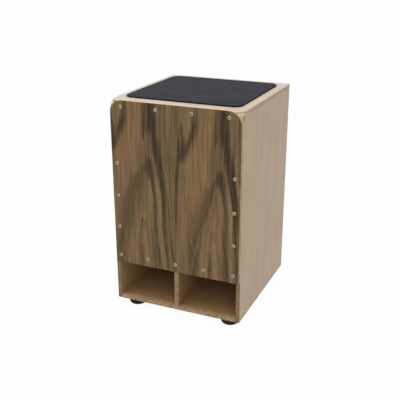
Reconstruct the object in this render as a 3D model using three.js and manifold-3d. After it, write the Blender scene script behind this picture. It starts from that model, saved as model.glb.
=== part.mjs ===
// Bass cajon: a box drum that its player sits on and strikes with both hands.
// A thin playing plate, the tapa, closes the front of a plywood box. Two ports under it
// let the air of the box out, which gives the drum its deep note.
// Lengths are in millimetres and +Z is up. The playing side looks along -Y, and the
// origin lies on the floor under the middle of the whole drum.

import * as THREE from 'three';
import { mergeVertices } from 'three/addons/utils/BufferGeometryUtils.js';
import Module from 'manifold-3d';

// Plywood box
const BODY_WIDTH = 300;
const BODY_DEPTH = 310;
const BODY_HEIGHT = 468;
const WALL = 9;
const EDGE_RADIUS = 2.5;
const BACK_THICKNESS = 5;
const REBATE_WIDTH = 4.5;

// Playing corners: the two front top corners, sanded round for the hands. Their radius
// is full at the front and runs out into the edge radius along the box.
const PLAYING_CORNER_RADIUS = 29;
const PLAYING_CORNER_LENGTH = 38;
const PLAYING_CORNER_RUN_OUT_POWER = 3;

// Ports
const PORT_HEIGHT = 87;
const PORT_REAR_GAP = 60;

// Tapa and the battens behind its edge. Its outline is that of the box's flat front face,
// inside the rounded edges.
const TAPA_THICKNESS = 3;
const TAPA_SIDE_INSET = EDGE_RADIUS;
const TAPA_CORNER_RADIUS = PLAYING_CORNER_RADIUS;
const TAPA_FOOT_RADIUS = 2;
const TAPA_EASED_EDGE = 0.8;
const BATTEN = 18;

// Tapa screws: rows in a step from the inner faces of the box
const TAPA_SCREW = { head: 8, rise: 2.2, shank: 3.5, point: 3, slotWidth: 0.9, slotLength: 4.4, slotDepth: 1.1 };
const TAPA_SCREW_BITE = 13;
const TOP_ROW_DROP = 4.6;
const TOP_ROW_END_INSET = 20;
const TOP_ROW_COUNT = 4;
const SIDE_ROW_INSET = 6;
const SIDE_ROW_HEIGHT_SHARES = [0.204, 0.418, 0.635];
const BOTTOM_ROW_COUNT = 5;

// Seat pad, glued on the middle of the seat
const PAD_WIDTH = 263;
const PAD_DEPTH = 255;
const PAD_THICKNESS = 4;
const PAD_CORNER_RADIUS = 20;
const PAD_EDGE_RADIUS = 1.5;

// Rubber feet
const FOOT_DIAMETER = 44;
const FOOT_SOLE_DIAMETER = 34;
const FOOT_HEIGHT = 20;
const FOOT_RIM_HEIGHT = 3;
const FOOT_RECESS_DIAMETER = 14;
const FOOT_RECESS_DEPTH = 11;
const FOOT_SIDE_INSET = 34;
const FOOT_END_INSET = 34;
const FOOT_SCREW = { head: 9, rise: 2.4, shank: 4, point: 3, slotWidth: 1, slotLength: 5, slotDepth: 1.2 };
const FOOT_SCREW_BITE = 7;

// Snares: two sets of wires on a bar behind the side battens
const SNARE_BAR_DROP = 120;
const SNARE_BATTEN_GAP = 14.5;
const SNARE_WIRE_COUNT = 10;
const SNARE_WIRE_PITCH = 5;
const SNARE_WIRE_DIAMETER = 1.6;
const SNARE_WIRE_RISE = 84;
const SNARE_STRIP_HEIGHT = 12;
const SNARE_STRIP_THICKNESS = 1.2;
const SNARE_STRIP_EAR = 10;
const SNARE_SCREW = { head: 6, rise: 1.8, shank: 3, point: 2.5, slotWidth: 0.8, slotLength: 3.4, slotDepth: 0.9 };
const SNARE_SCREW_BITE = 12;

// Clearances, and the overrun of every cut past the face that it opens
const FIT_GAP = 0.3;
const CUT_OVERRUN = 2;

// Fineness of the curves, in steps
const CORNER_STEPS = 7;
const EDGE_STEPS = 3;
const RUN_OUT_STEPS = 7;
const SCREW_SIDES = 14;
const SCREW_DOME_STEPS = 3;
const FOOT_SIDES = 24;
const FOOT_CURVE_STEPS = 5;
const WIRE_SIDES = 6;

// Places that more than one piece follows
const HALF_WIDTH = BODY_WIDTH / 2;
const INNER_HALF_WIDTH = HALF_WIDTH - WALL;
const FRONT = -BODY_DEPTH / 2;
const BACK = BODY_DEPTH / 2;
const BACK_PANEL_FRONT = BACK - BACK_THICKNESS;
const TOP_PANEL_UNDERSIDE = BODY_HEIGHT - WALL;
const PORT_ROOF = WALL + PORT_HEIGHT;
const SHELF_TOP = PORT_ROOF + WALL;
const SHELF_REAR = BACK_PANEL_FRONT - PORT_REAR_GAP;
const BATTEN_REAR = FRONT + BATTEN;
const TAPA_FACE = FRONT - TAPA_THICKNESS;
const TAPA_HALF_WIDTH = HALF_WIDTH - TAPA_SIDE_INSET;
const SNARE_BAR_TOP = BODY_HEIGHT - SNARE_BAR_DROP;

// Materials

function finish(colour, roughness, metalness = 0) {
  return new THREE.MeshStandardMaterial({ color: colour, roughness, metalness });
}

const BEECH = finish(0xb5a288, 0.55);
const RAW_PLY = finish(0x9a7d58, 0.75);
const VENEER = finish(0x745c42, 0.5);
const BATTEN_PINE = finish(0xc2a374, 0.8);
const PAD_FOAM = finish(0x44464a, 0.85);
const RUBBER = finish(0x151310, 0.7);
const STEEL = finish(0xb0aaa0, 0.35, 1);

// Solids: closed geometries go in and out of the boolean library

const wasm = await Module();
wasm.setup();

function solidOf(geometry) {
  const bare = geometry.clone();
  bare.deleteAttribute('normal');
  bare.deleteAttribute('uv');
  const merged = mergeVertices(bare);
  return new wasm.Manifold(new wasm.Mesh({
    numProp: 3,
    vertProperties: new Float32Array(merged.attributes.position.array),
    triVerts: new Uint32Array(merged.index.array),
  }));
}

function geometryOf(solid) {
  const mesh = solid.getMesh();
  const geometry = new THREE.BufferGeometry();
  geometry.setAttribute('position', new THREE.BufferAttribute(mesh.vertProperties, 3));
  geometry.setIndex(new THREE.BufferAttribute(mesh.triVerts, 1));
  geometry.computeVertexNormals();
  return geometry;
}

function piece(name, geometry, material, x = 0, y = 0, z = 0) {
  const mesh = new THREE.Mesh(geometry, material);
  mesh.name = name;
  mesh.position.set(x, y, z);
  return mesh;
}

// A block between two opposite corners
function block(low, high) {
  const [width, depth, height] = high.map((value, axis) => value - low[axis]);
  const geometry = new THREE.BoxGeometry(width, depth, height);
  geometry.translate(...high.map((value, axis) => (value + low[axis]) / 2));
  return solidOf(geometry);
}

// A round bar along Y, from its rear end towards the front
function barAlongY(radius, front, rear, x, z, sides = SCREW_SIDES) {
  const geometry = new THREE.CylinderGeometry(radius, radius, rear - front, sides);
  geometry.translate(x, (front + rear) / 2, z);
  return solidOf(geometry);
}

// The outline of an upright panel: four round corners, counterclockwise from the low right one
function roundedOutline(halfWidth, low, high, lowRadius, highRadius) {
  const corners = [
    [halfWidth - lowRadius, low + lowRadius, lowRadius],
    [halfWidth - highRadius, high - highRadius, highRadius],
    [highRadius - halfWidth, high - highRadius, highRadius],
    [lowRadius - halfWidth, low + lowRadius, lowRadius],
  ];
  return corners.flatMap(([x, z, radius], quarter) => {
    const start = (quarter - 1) * Math.PI / 2;
    return Array.from({ length: CORNER_STEPS + 1 }, (_, step) => {
      const angle = start + step / CORNER_STEPS * Math.PI / 2;
      return new THREE.Vector2(x + radius * Math.cos(angle), z + radius * Math.sin(angle));
    });
  });
}

// A solid through rings of equally many points, with both end rings closed flat.
// The rings run counterclockwise as seen from beyond the last one.
function loft(rings) {
  const count = rings[0].length;
  const points = rings.flat();
  const triangles = [];
  for (let ring = 0; ring < rings.length - 1; ring += 1) {
    for (let i = 0; i < count; i += 1) {
      const a = ring * count + i;
      const b = ring * count + (i + 1) % count;
      triangles.push(a, b, b + count, a, b + count, a + count);
    }
  }
  const lastRing = (rings.length - 1) * count;
  for (let i = 1; i < count - 1; i += 1) {
    triangles.push(0, i + 1, i);
    triangles.push(lastRing, lastRing + i, lastRing + i + 1);
  }
  const geometry = new THREE.BufferGeometry().setFromPoints(points);
  geometry.setIndex(triangles);
  return solidOf(geometry);
}

// How far a quarter round of this radius stands back, this deep behind the end face
function roundInset(radius, depth) {
  const reach = Math.max(radius - depth, 0);
  return radius - Math.sqrt(radius ** 2 - reach ** 2);
}

// Depths at which a quarter round is sampled, from the end face inwards
function roundDepths(radius) {
  return Array.from({ length: EDGE_STEPS + 1 }, (_, step) => {
    return radius * (1 - Math.cos(step / EDGE_STEPS * Math.PI / 2));
  });
}

// The outer form of the box, as sanded after glue-up. Its panels are cut from it.

function playingCornerRadius(depth) {
  const left = Math.max(1 - depth / PLAYING_CORNER_LENGTH, 0);
  return EDGE_RADIUS + (PLAYING_CORNER_RADIUS - EDGE_RADIUS) * left ** PLAYING_CORNER_RUN_OUT_POWER;
}

function bodyRing(depth) {
  const frontInset = roundInset(EDGE_RADIUS, depth);
  const backInset = roundInset(EDGE_RADIUS, BODY_DEPTH - depth);
  const sideInset = frontInset + backInset;
  const outline = roundedOutline(
    HALF_WIDTH - sideInset,
    sideInset,
    BODY_HEIGHT - backInset,
    EDGE_RADIUS,
    playingCornerRadius(depth),
  );
  return outline.map((point) => new THREE.Vector3(point.x, FRONT + depth, point.y));
}

function bodyForm() {
  const edge = roundDepths(EDGE_RADIUS);
  const runOutLength = PLAYING_CORNER_LENGTH - EDGE_RADIUS;
  const runOut = Array.from({ length: RUN_OUT_STEPS }, (_, step) => {
    return EDGE_RADIUS + runOutLength * (step + 1) / RUN_OUT_STEPS;
  });
  const backEdge = edge.map((depth) => BODY_DEPTH - depth).reverse();
  return loft([...edge, ...runOut, ...backEdge].reverse().map(bodyRing));
}

const BODY_FORM = bodyForm();

// The slot that the back panel is glued into
const REBATE_HALF_WIDTH = INNER_HALF_WIDTH + REBATE_WIDTH;
const REBATE_LOW = WALL - REBATE_WIDTH;
const REBATE_HIGH = TOP_PANEL_UNDERSIDE + REBATE_WIDTH;
const REBATE = block(
  [-REBATE_HALF_WIDTH - FIT_GAP, BACK_PANEL_FRONT, REBATE_LOW - FIT_GAP],
  [REBATE_HALF_WIDTH + FIT_GAP, BACK + CUT_OVERRUN, REBATE_HIGH + FIT_GAP],
);

// Where the screws go, as [x, z] on the tapa

function evenly(count, low, high) {
  return Array.from({ length: count }, (_, i) => low + (high - low) * i / (count - 1));
}

const TOP_ROW_Z = TOP_PANEL_UNDERSIDE - TOP_ROW_DROP;
const TOP_ROW_END = INNER_HALF_WIDTH - TOP_ROW_END_INSET;
const SIDE_ROW_X = INNER_HALF_WIDTH - SIDE_ROW_INSET;
const BOTTOM_ROW_Z = SHELF_TOP + BATTEN / 2;

const TOP_ROW = evenly(TOP_ROW_COUNT, -TOP_ROW_END, TOP_ROW_END).map((x) => [x, TOP_ROW_Z]);
const BOTTOM_ROW = evenly(BOTTOM_ROW_COUNT, -SIDE_ROW_X, SIDE_ROW_X).map((x) => [x, BOTTOM_ROW_Z]);
const SIDE_ROW_Z = SIDE_ROW_HEIGHT_SHARES.map((share) => BOTTOM_ROW_Z + share * (TOP_ROW_Z - BOTTOM_ROW_Z));

const FEET = [
  ['front_left', -1, -1],
  ['front_right', 1, -1],
  ['rear_left', -1, 1],
  ['rear_right', 1, 1],
].map(([place, right, back]) => ({
  place,
  x: right * (HALF_WIDTH - FOOT_SIDE_INSET),
  y: back * (BACK - FOOT_END_INSET),
}));

// Screws: one turned solid with a cross recess, its head over z = 0 along +Y

function screwGeometry(screw, length) {
  const head = screw.head / 2;
  const shank = screw.shank / 2;
  const rim = screw.rise / 2;
  const dome = Array.from({ length: SCREW_DOME_STEPS }, (_, step) => {
    const angle = step / SCREW_DOME_STEPS * Math.PI / 2;
    return new THREE.Vector2(head * Math.cos(angle), rim + (screw.rise - rim) * Math.sin(angle));
  });
  const turned = new THREE.LatheGeometry([
    new THREE.Vector2(0, -length),
    new THREE.Vector2(shank, screw.point - length),
    new THREE.Vector2(shank, 0),
    new THREE.Vector2(head, 0),
    ...dome,
    new THREE.Vector2(0, screw.rise),
  ], SCREW_SIDES);
  const low = screw.rise - screw.slotDepth;
  const high = screw.rise + CUT_OVERRUN;
  const across = screw.slotLength / 2;
  const wide = screw.slotWidth / 2;
  const cross = block([-across, low, -wide], [across, high, wide])
    .add(block([-wide, low, -across], [wide, high, across]));
  return geometryOf(solidOf(turned).subtract(cross));
}

// The hole that a screw needs: its shank and point with clearance, from a face to a depth along Y
function screwHole(screw, x, z, front, rear) {
  return barAlongY(screw.shank / 2 + FIT_GAP, front, rear, x, z);
}

// Plywood panels

function sidePanel(side) {
  const inner = side * INNER_HALF_WIDTH;
  const outer = side * HALF_WIDTH;
  const slab = block(
    [Math.min(inner, outer), FRONT, 0],
    [Math.max(inner, outer), BACK, TOP_PANEL_UNDERSIDE],
  );
  return geometryOf(slab.intersect(BODY_FORM).subtract(REBATE));
}

function topPanel() {
  const slab = block([-HALF_WIDTH, FRONT, TOP_PANEL_UNDERSIDE], [HALF_WIDTH, BACK, BODY_HEIGHT]);
  return geometryOf(slab.intersect(BODY_FORM).subtract(REBATE));
}

function bottomPanel() {
  const slab = block([-INNER_HALF_WIDTH, FRONT, 0], [INNER_HALF_WIDTH, BACK, WALL]);
  const bored = FEET.reduce((panel, foot) => {
    const hole = new THREE.CylinderGeometry(
      FOOT_SCREW.shank / 2 + FIT_GAP,
      FOOT_SCREW.shank / 2 + FIT_GAP,
      FOOT_SCREW_BITE + FIT_GAP + CUT_OVERRUN,
      SCREW_SIDES,
    );
    hole.rotateX(Math.PI / 2);
    hole.translate(foot.x, foot.y, (FOOT_SCREW_BITE + FIT_GAP - CUT_OVERRUN) / 2);
    return panel.subtract(solidOf(hole));
  }, slab.intersect(BODY_FORM).subtract(REBATE));
  return geometryOf(bored);
}

function backPanel() {
  const slab = block(
    [-REBATE_HALF_WIDTH, BACK_PANEL_FRONT, REBATE_LOW],
    [REBATE_HALF_WIDTH, BACK, REBATE_HIGH],
  );
  return geometryOf(slab.intersect(BODY_FORM));
}

function portShelf() {
  return geometryOf(block([-INNER_HALF_WIDTH, FRONT, PORT_ROOF], [INNER_HALF_WIDTH, SHELF_REAR, SHELF_TOP]));
}

function portDivider() {
  return geometryOf(block([-WALL / 2, FRONT, WALL], [WALL / 2, SHELF_REAR, PORT_ROOF]));
}

// Battens behind the edge of the tapa, bored for its screws

function batten(low, high, screws) {
  const bar = block(low, high).intersect(BODY_FORM);
  const bored = screws.reduce((left, [x, z]) => {
    return left.subtract(screwHole(TAPA_SCREW, x, z, FRONT - CUT_OVERRUN, FRONT + TAPA_SCREW_BITE + FIT_GAP));
  }, bar);
  return geometryOf(bored);
}

function topBatten() {
  return batten(
    [-INNER_HALF_WIDTH, FRONT, TOP_PANEL_UNDERSIDE - BATTEN],
    [INNER_HALF_WIDTH, BATTEN_REAR, TOP_PANEL_UNDERSIDE],
    TOP_ROW,
  );
}

function bottomBatten() {
  return batten(
    [-INNER_HALF_WIDTH, FRONT, SHELF_TOP],
    [INNER_HALF_WIDTH, BATTEN_REAR, SHELF_TOP + BATTEN],
    BOTTOM_ROW,
  );
}

function sideBatten(side) {
  const inner = side * (INNER_HALF_WIDTH - BATTEN);
  const outer = side * INNER_HALF_WIDTH;
  return batten(
    [Math.min(inner, outer), FRONT, SHELF_TOP + BATTEN],
    [Math.max(inner, outer), BATTEN_REAR, TOP_PANEL_UNDERSIDE - BATTEN],
    SIDE_ROW_Z.map((z) => [side * SIDE_ROW_X, z]),
  );
}

// Tapa: a thin plate, flush with the seat, whose front edge is eased all round

function tapaRing(inset, depth) {
  const outline = roundedOutline(
    TAPA_HALF_WIDTH - inset,
    PORT_ROOF + inset,
    BODY_HEIGHT - inset,
    TAPA_FOOT_RADIUS,
    TAPA_CORNER_RADIUS,
  );
  return outline.map((point) => new THREE.Vector3(point.x, TAPA_FACE + depth, point.y));
}

function tapa(screws) {
  const eased = roundDepths(TAPA_EASED_EDGE).map((depth) => {
    return tapaRing(roundInset(TAPA_EASED_EDGE, depth), depth);
  });
  const plate = loft([tapaRing(0, TAPA_THICKNESS), ...eased.reverse()]);
  const bored = screws.reduce((left, [x, z]) => {
    return left.subtract(screwHole(TAPA_SCREW, x, z, TAPA_FACE - CUT_OVERRUN, FRONT + CUT_OVERRUN));
  }, plate);
  return geometryOf(bored);
}

// Seat pad: a flat mat with round corners and a rounded top edge, on z = 0

function padRing(inset, height) {
  const outline = roundedOutline(
    PAD_WIDTH / 2 - inset,
    inset - PAD_DEPTH / 2,
    PAD_DEPTH / 2 - inset,
    PAD_CORNER_RADIUS,
    PAD_CORNER_RADIUS,
  );
  return outline.map((point) => new THREE.Vector3(point.x, point.y, height));
}

function seatPad() {
  const rounded = roundDepths(PAD_EDGE_RADIUS).map((depth) => {
    return padRing(roundInset(PAD_EDGE_RADIUS, depth), PAD_THICKNESS - depth);
  });
  return geometryOf(loft([padRing(0, 0), ...rounded.reverse()]));
}

// Rubber foot: turned, with a recess for its screw, its sole on z = 0

function rubberFoot() {
  const top = FOOT_DIAMETER / 2;
  const sole = FOOT_SOLE_DIAMETER / 2;
  const recess = FOOT_RECESS_DIAMETER / 2;
  const bore = FOOT_SCREW.shank / 2 + FIT_GAP;
  const flank = Array.from({ length: FOOT_CURVE_STEPS + 1 }, (_, step) => {
    const angle = step / FOOT_CURVE_STEPS * Math.PI / 2;
    const curveHeight = FOOT_HEIGHT - FOOT_RIM_HEIGHT;
    return new THREE.Vector2(sole + (top - sole) * Math.sin(angle), curveHeight * (1 - Math.cos(angle)));
  });
  const profile = [
    new THREE.Vector2(bore, FOOT_RECESS_DEPTH),
    new THREE.Vector2(recess, FOOT_RECESS_DEPTH),
    new THREE.Vector2(recess, 0),
    ...flank,
    new THREE.Vector2(top, FOOT_HEIGHT),
    new THREE.Vector2(bore, FOOT_HEIGHT),
    new THREE.Vector2(bore, FOOT_RECESS_DEPTH),
  ];
  const geometry = new THREE.LatheGeometry(profile, FOOT_SIDES);
  geometry.rotateX(Math.PI / 2);
  return geometryOf(solidOf(geometry));
}

// Snare set: a strip on the front of the bar, with wires that lean on the back of the tapa.
// The strip's back lies on y = 0 and its lower edge on z = 0.

const SNARE_SPAN = (SNARE_WIRE_COUNT - 1) * SNARE_WIRE_PITCH;
const SNARE_STRIP_WIDTH = SNARE_SPAN + 2 * SNARE_STRIP_EAR;
const SNARE_SCREW_X = (SNARE_SPAN + SNARE_STRIP_EAR) / 2;

function snareWire(x) {
  const radius = SNARE_WIRE_DIAMETER / 2;
  const foot = new THREE.Vector3(x, -SNARE_STRIP_THICKNESS, SNARE_WIRE_DIAMETER);
  const tip = new THREE.Vector3(x, -BATTEN + radius + FIT_GAP, foot.z + SNARE_WIRE_RISE);
  const wire = new THREE.CylinderGeometry(radius, radius, foot.distanceTo(tip), WIRE_SIDES);
  wire.rotateX(Math.PI / 2);
  wire.lookAt(tip.clone().sub(foot));
  wire.translate(...foot.clone().add(tip).divideScalar(2));
  return solidOf(wire);
}

function snareSet() {
  const strip = block(
    [-SNARE_STRIP_WIDTH / 2, -SNARE_STRIP_THICKNESS, 0],
    [SNARE_STRIP_WIDTH / 2, 0, SNARE_STRIP_HEIGHT],
  );
  const wires = evenly(SNARE_WIRE_COUNT, -SNARE_SPAN / 2, SNARE_SPAN / 2).map(snareWire);
  const soldered = wires.reduce((left, wire) => left.add(wire), strip);
  const bored = [-SNARE_SCREW_X, SNARE_SCREW_X].reduce((left, x) => {
    return left.subtract(screwHole(
      SNARE_SCREW,
      x,
      SNARE_STRIP_HEIGHT / 2,
      -SNARE_STRIP_THICKNESS - CUT_OVERRUN,
      CUT_OVERRUN,
    ));
  }, soldered);
  return geometryOf(bored);
}

const SNARE_STRIP_LOW = SNARE_BAR_TOP - (BATTEN + SNARE_STRIP_HEIGHT) / 2;
const SNARE_SCREW_Z = SNARE_STRIP_LOW + SNARE_STRIP_HEIGHT / 2;
const SNARE_SET_OFFSET = INNER_HALF_WIDTH - BATTEN - SNARE_BATTEN_GAP - SNARE_STRIP_WIDTH / 2;
const SNARE_SIDES = [['left', -SNARE_SET_OFFSET], ['right', SNARE_SET_OFFSET]];
const SNARE_SCREWS = SNARE_SIDES.flatMap(([side, x]) => [
  [`snare_screw_${side}_outer`, x + Math.sign(x) * SNARE_SCREW_X],
  [`snare_screw_${side}_inner`, x - Math.sign(x) * SNARE_SCREW_X],
]);

function snareBar() {
  const bar = block(
    [-INNER_HALF_WIDTH, BATTEN_REAR, SNARE_BAR_TOP - BATTEN],
    [INNER_HALF_WIDTH, BATTEN_REAR + BATTEN, SNARE_BAR_TOP],
  );
  const bored = SNARE_SCREWS.reduce((left, [, x]) => {
    return left.subtract(screwHole(
      SNARE_SCREW,
      x,
      SNARE_SCREW_Z,
      BATTEN_REAR - CUT_OVERRUN,
      BATTEN_REAR + SNARE_SCREW_BITE + FIT_GAP,
    ));
  }, bar);
  return geometryOf(bored);
}

// The drum: the box stands on its feet, and the origin is under the middle of everything

const FRONT_PROUD = TAPA_THICKNESS + TAPA_SCREW.rise;
const drum = new THREE.Group();
drum.position.y = FRONT_PROUD / 2;

const box = new THREE.Group();
box.position.z = FOOT_HEIGHT;
drum.add(box);

box.add(
  piece('side_panel_left', sidePanel(-1), BEECH),
  piece('side_panel_right', sidePanel(1), BEECH),
  piece('top_panel', topPanel(), BEECH),
  piece('bottom_panel', bottomPanel(), RAW_PLY),
  piece('back_panel', backPanel(), BEECH),
  piece('port_shelf', portShelf(), RAW_PLY),
  piece('port_divider', portDivider(), RAW_PLY),
  piece('front_batten_top', topBatten(), BATTEN_PINE),
  piece('front_batten_bottom', bottomBatten(), BATTEN_PINE),
  piece('front_batten_left', sideBatten(-1), BATTEN_PINE),
  piece('front_batten_right', sideBatten(1), BATTEN_PINE),
  piece('seat_pad', seatPad(), PAD_FOAM, 0, 0, BODY_HEIGHT),
  piece('snare_bar', snareBar(), BATTEN_PINE),
);

const TAPA_SCREWS = [
  ...TOP_ROW.map((place, i) => [`tapa_screw_top_${i + 1}`, ...place]),
  ...SIDE_ROW_Z.map((z, i) => [`tapa_screw_left_${i + 1}`, -SIDE_ROW_X, z]),
  ...SIDE_ROW_Z.map((z, i) => [`tapa_screw_right_${i + 1}`, SIDE_ROW_X, z]),
  ...BOTTOM_ROW.map((place, i) => [`tapa_screw_bottom_${i + 1}`, ...place]),
];

box.add(piece('tapa', tapa(TAPA_SCREWS.map(([, x, z]) => [x, z])), VENEER));

const tapaScrew = screwGeometry(TAPA_SCREW, TAPA_THICKNESS + TAPA_SCREW_BITE);
tapaScrew.rotateX(Math.PI);
for (const [name, x, z] of TAPA_SCREWS) {
  box.add(piece(name, tapaScrew, STEEL, x, TAPA_FACE, z));
}

const snare = snareSet();
for (const [side, x] of SNARE_SIDES) {
  box.add(piece(`snare_set_${side}`, snare, STEEL, x, BATTEN_REAR, SNARE_STRIP_LOW));
}

const snareScrew = screwGeometry(SNARE_SCREW, SNARE_STRIP_THICKNESS + SNARE_SCREW_BITE);
snareScrew.rotateX(Math.PI);
for (const [name, x] of SNARE_SCREWS) {
  box.add(piece(name, snareScrew, STEEL, x, BATTEN_REAR - SNARE_STRIP_THICKNESS, SNARE_SCREW_Z));
}

const foot = rubberFoot();
const footScrew = screwGeometry(FOOT_SCREW, FOOT_HEIGHT - FOOT_RECESS_DEPTH + FOOT_SCREW_BITE);
footScrew.rotateX(-Math.PI / 2);
for (const { place, x, y } of FEET) {
  drum.add(piece(`foot_${place}`, foot, RUBBER, x, y, 0));
  drum.add(piece(`foot_screw_${place}`, footScrew, STEEL, x, y, FOOT_RECESS_DEPTH));
}

export default drum;
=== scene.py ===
# %% [markdown]
# A bass cajon in Blender
#
# A bass cajon is a box drum that its player sits on. A thin playing plate, the tapa, is
# screwed over the front of a plywood box, and two ports under it let the air out.
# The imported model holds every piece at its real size. This lesson keeps that model as a
# fixed frame and makes the fine surfaces and the finishes around it: sanded plywood, a
# sliced veneer, a foam mat, turned screws and rubber feet.
# All lengths are in metres. The drum stands on z = 0 and its tapa looks along -Y.

import math

import bmesh
import bpy
import numpy as np
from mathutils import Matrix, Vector


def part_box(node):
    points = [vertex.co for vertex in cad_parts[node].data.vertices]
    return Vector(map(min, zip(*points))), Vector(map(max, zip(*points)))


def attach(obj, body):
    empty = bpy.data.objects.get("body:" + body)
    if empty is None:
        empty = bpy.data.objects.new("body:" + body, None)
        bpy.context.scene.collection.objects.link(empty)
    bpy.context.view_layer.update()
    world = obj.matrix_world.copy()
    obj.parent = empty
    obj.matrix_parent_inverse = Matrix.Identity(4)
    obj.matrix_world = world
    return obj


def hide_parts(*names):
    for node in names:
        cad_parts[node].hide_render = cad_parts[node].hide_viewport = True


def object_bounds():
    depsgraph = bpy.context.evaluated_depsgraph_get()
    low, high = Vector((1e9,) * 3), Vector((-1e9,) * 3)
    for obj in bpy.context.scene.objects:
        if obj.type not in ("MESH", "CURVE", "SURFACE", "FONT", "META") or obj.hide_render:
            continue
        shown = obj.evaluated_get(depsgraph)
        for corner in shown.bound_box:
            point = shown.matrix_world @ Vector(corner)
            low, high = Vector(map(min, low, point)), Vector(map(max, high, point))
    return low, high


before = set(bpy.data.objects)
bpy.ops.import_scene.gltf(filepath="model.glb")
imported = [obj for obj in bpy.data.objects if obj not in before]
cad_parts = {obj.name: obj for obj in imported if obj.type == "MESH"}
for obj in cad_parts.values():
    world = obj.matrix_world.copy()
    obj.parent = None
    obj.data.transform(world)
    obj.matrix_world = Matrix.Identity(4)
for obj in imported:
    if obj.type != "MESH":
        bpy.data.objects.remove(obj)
cad_low, cad_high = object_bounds()
print("CAD box in metres:", [round(v, 4) for v in (*cad_low, *cad_high)])

# %% [markdown]
# The camera
#
# The photograph was taken from a little right of the drum and above it. The straight edges
# of the box fix the place of a pinhole camera. The lens follows from its focal length, which
# was found in pixels of a frame 400 pixels wide, and from Blender's 36 mm sensor.

# %% The camera
CAMERA_PLACE = Vector((0.5734, -1.3401, 0.7854))
CAMERA_AZIMUTH = math.radians(23.481)
CAMERA_ELEVATION = math.radians(20.809)
FOCAL_LENGTH_PIXELS = 667.42
FRAME_PIXELS = 400
SENSOR = 36.0
scene = bpy.context.scene


def place_and_aim(thing, place, direction):
    """Puts a camera or a lamp in the scene, looking in a direction with its top upwards."""
    thing.location = place
    thing.rotation_mode = "QUATERNION"
    thing.rotation_quaternion = direction.to_track_quat("-Z", "Y")
    scene.collection.objects.link(thing)


camera_data = bpy.data.cameras.new("camera")
camera_data.sensor_width = SENSOR
camera_data.lens = FOCAL_LENGTH_PIXELS / FRAME_PIXELS * SENSOR
camera = bpy.data.objects.new("camera", camera_data)
backwards = Vector((
    math.sin(CAMERA_AZIMUTH) * math.cos(CAMERA_ELEVATION),
    -math.cos(CAMERA_AZIMUTH) * math.cos(CAMERA_ELEVATION),
    math.sin(CAMERA_ELEVATION),
))
place_and_aim(camera, CAMERA_PLACE, -backwards)
scene.camera = camera
scene.view_settings.view_transform = "Standard"
print("lens in mm:", round(camera_data.lens, 2))

# %% [markdown]
# Nodes that count like numbers
#
# Light and finishes are formulas made of shader nodes. To keep them as short as formulas, a
# node's output is wrapped as a value. Values add, subtract, multiply and divide like
# numbers, and each such step makes one Math node in the tree that they belong to.

# %% Values and nodes


class Value:
    """An output of a shader node, which counts like a number."""

    def __init__(self, socket):
        self.socket = socket
        self.tree = socket.id_data

    def __add__(self, other):
        return calculate("ADD", self, other)

    def __sub__(self, other):
        return calculate("SUBTRACT", self, other)

    def __rsub__(self, other):
        return calculate("SUBTRACT", other, self)

    def __mul__(self, other):
        return calculate("MULTIPLY", self, other)

    def __rmul__(self, other):
        return calculate("MULTIPLY", other, self)

    def __truediv__(self, other):
        return calculate("DIVIDE", self, other)

    def __rtruediv__(self, other):
        return calculate("DIVIDE", other, self)

    def __abs__(self):
        return calculate("ABSOLUTE", self)


def node(tree, kind, inputs=None, **settings):
    """One shader node. Its inputs map a socket's name or number to a value or a constant."""
    made = tree.nodes.new("ShaderNode" + kind)
    for name, setting in settings.items():
        setattr(made, name, setting)
    for key, value in (inputs or {}).items():
        if isinstance(value, Value):
            tree.links.new(value.socket, made.inputs[key])
        else:
            made.inputs[key].default_value = value
    return made


def tree_of(inputs):
    """The node tree that the values among the inputs belong to."""
    return next(value.tree for value in inputs.values() if isinstance(value, Value))


def derive(kind, inputs, **settings):
    """The outputs of a new node, in the tree of its inputs."""
    return [Value(socket) for socket in node(tree_of(inputs), kind, inputs, **settings).outputs]


def calculate(operation, *values):
    """A Math node over up to three values."""
    return derive("Math", dict(enumerate(values)), operation=operation)[0]


# %% [markdown]
# Light and floor
#
# A product photograph on white has soft light from all sides, most of it from above. A
# white world gives the light from all sides, and two wide lamps give the rest. What the
# camera, a mirror or a glass sees of the world and the floor is plain white, by the Light
# Path node, so that no lamp has to be turned up to bleach the background. A small share of
# the floor's white still answers to the light, and that share keeps the drum's shadow.

# %% World, lamps and floor
AMBIENT = 0.60
TOP_LAMP_WATTS = 18.0
FRONT_LAMP_WATTS = 8.0
FLOOR_GLOW = 0.96
FLOOR_SIZE = 30.0
WHITE = (1, 1, 1, 1)
MATT_WHITE = (0.9, 0.9, 0.9, 1)


def empty_tree(owner):
    """The node tree of a world or a material, without the nodes that it starts with."""
    owner.use_nodes = True
    owner.node_tree.nodes.clear()
    return owner.node_tree


def white(tree, kind, strength):
    """A white shader that shines by itself."""
    return Value(node(tree, kind, {"Color": WHITE, "Strength": strength}).outputs[0])


def mix_shaders(share, first, second):
    """The first shader at a share of 0, the second at 1, and both by their shares between."""
    return derive("MixShader", {0: share, 1: first, 2: second})[0]


def larger(first, second):
    """The larger of two values at each point."""
    return calculate("MAXIMUM", first, second)


def seen_directly(tree):
    """1 for rays from the camera, a mirror or a glass, and 0 for the light that falls on things."""
    path = node(tree, "LightPath").outputs
    mirror = larger(Value(path["Is Camera Ray"]), Value(path["Is Glossy Ray"]))
    return larger(mirror, Value(path["Is Transmission Ray"]))


def white_world():
    """A world that is white where it is seen directly, and lights things at its ambient strength."""
    world = bpy.data.worlds.new("white studio")
    tree = empty_tree(world)
    light = white(tree, "Background", AMBIENT)
    seen = white(tree, "Background", 1.0)
    node(tree, "OutputWorld", {"Surface": mix_shaders(seen_directly(tree), light, seen)})
    return world


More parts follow.
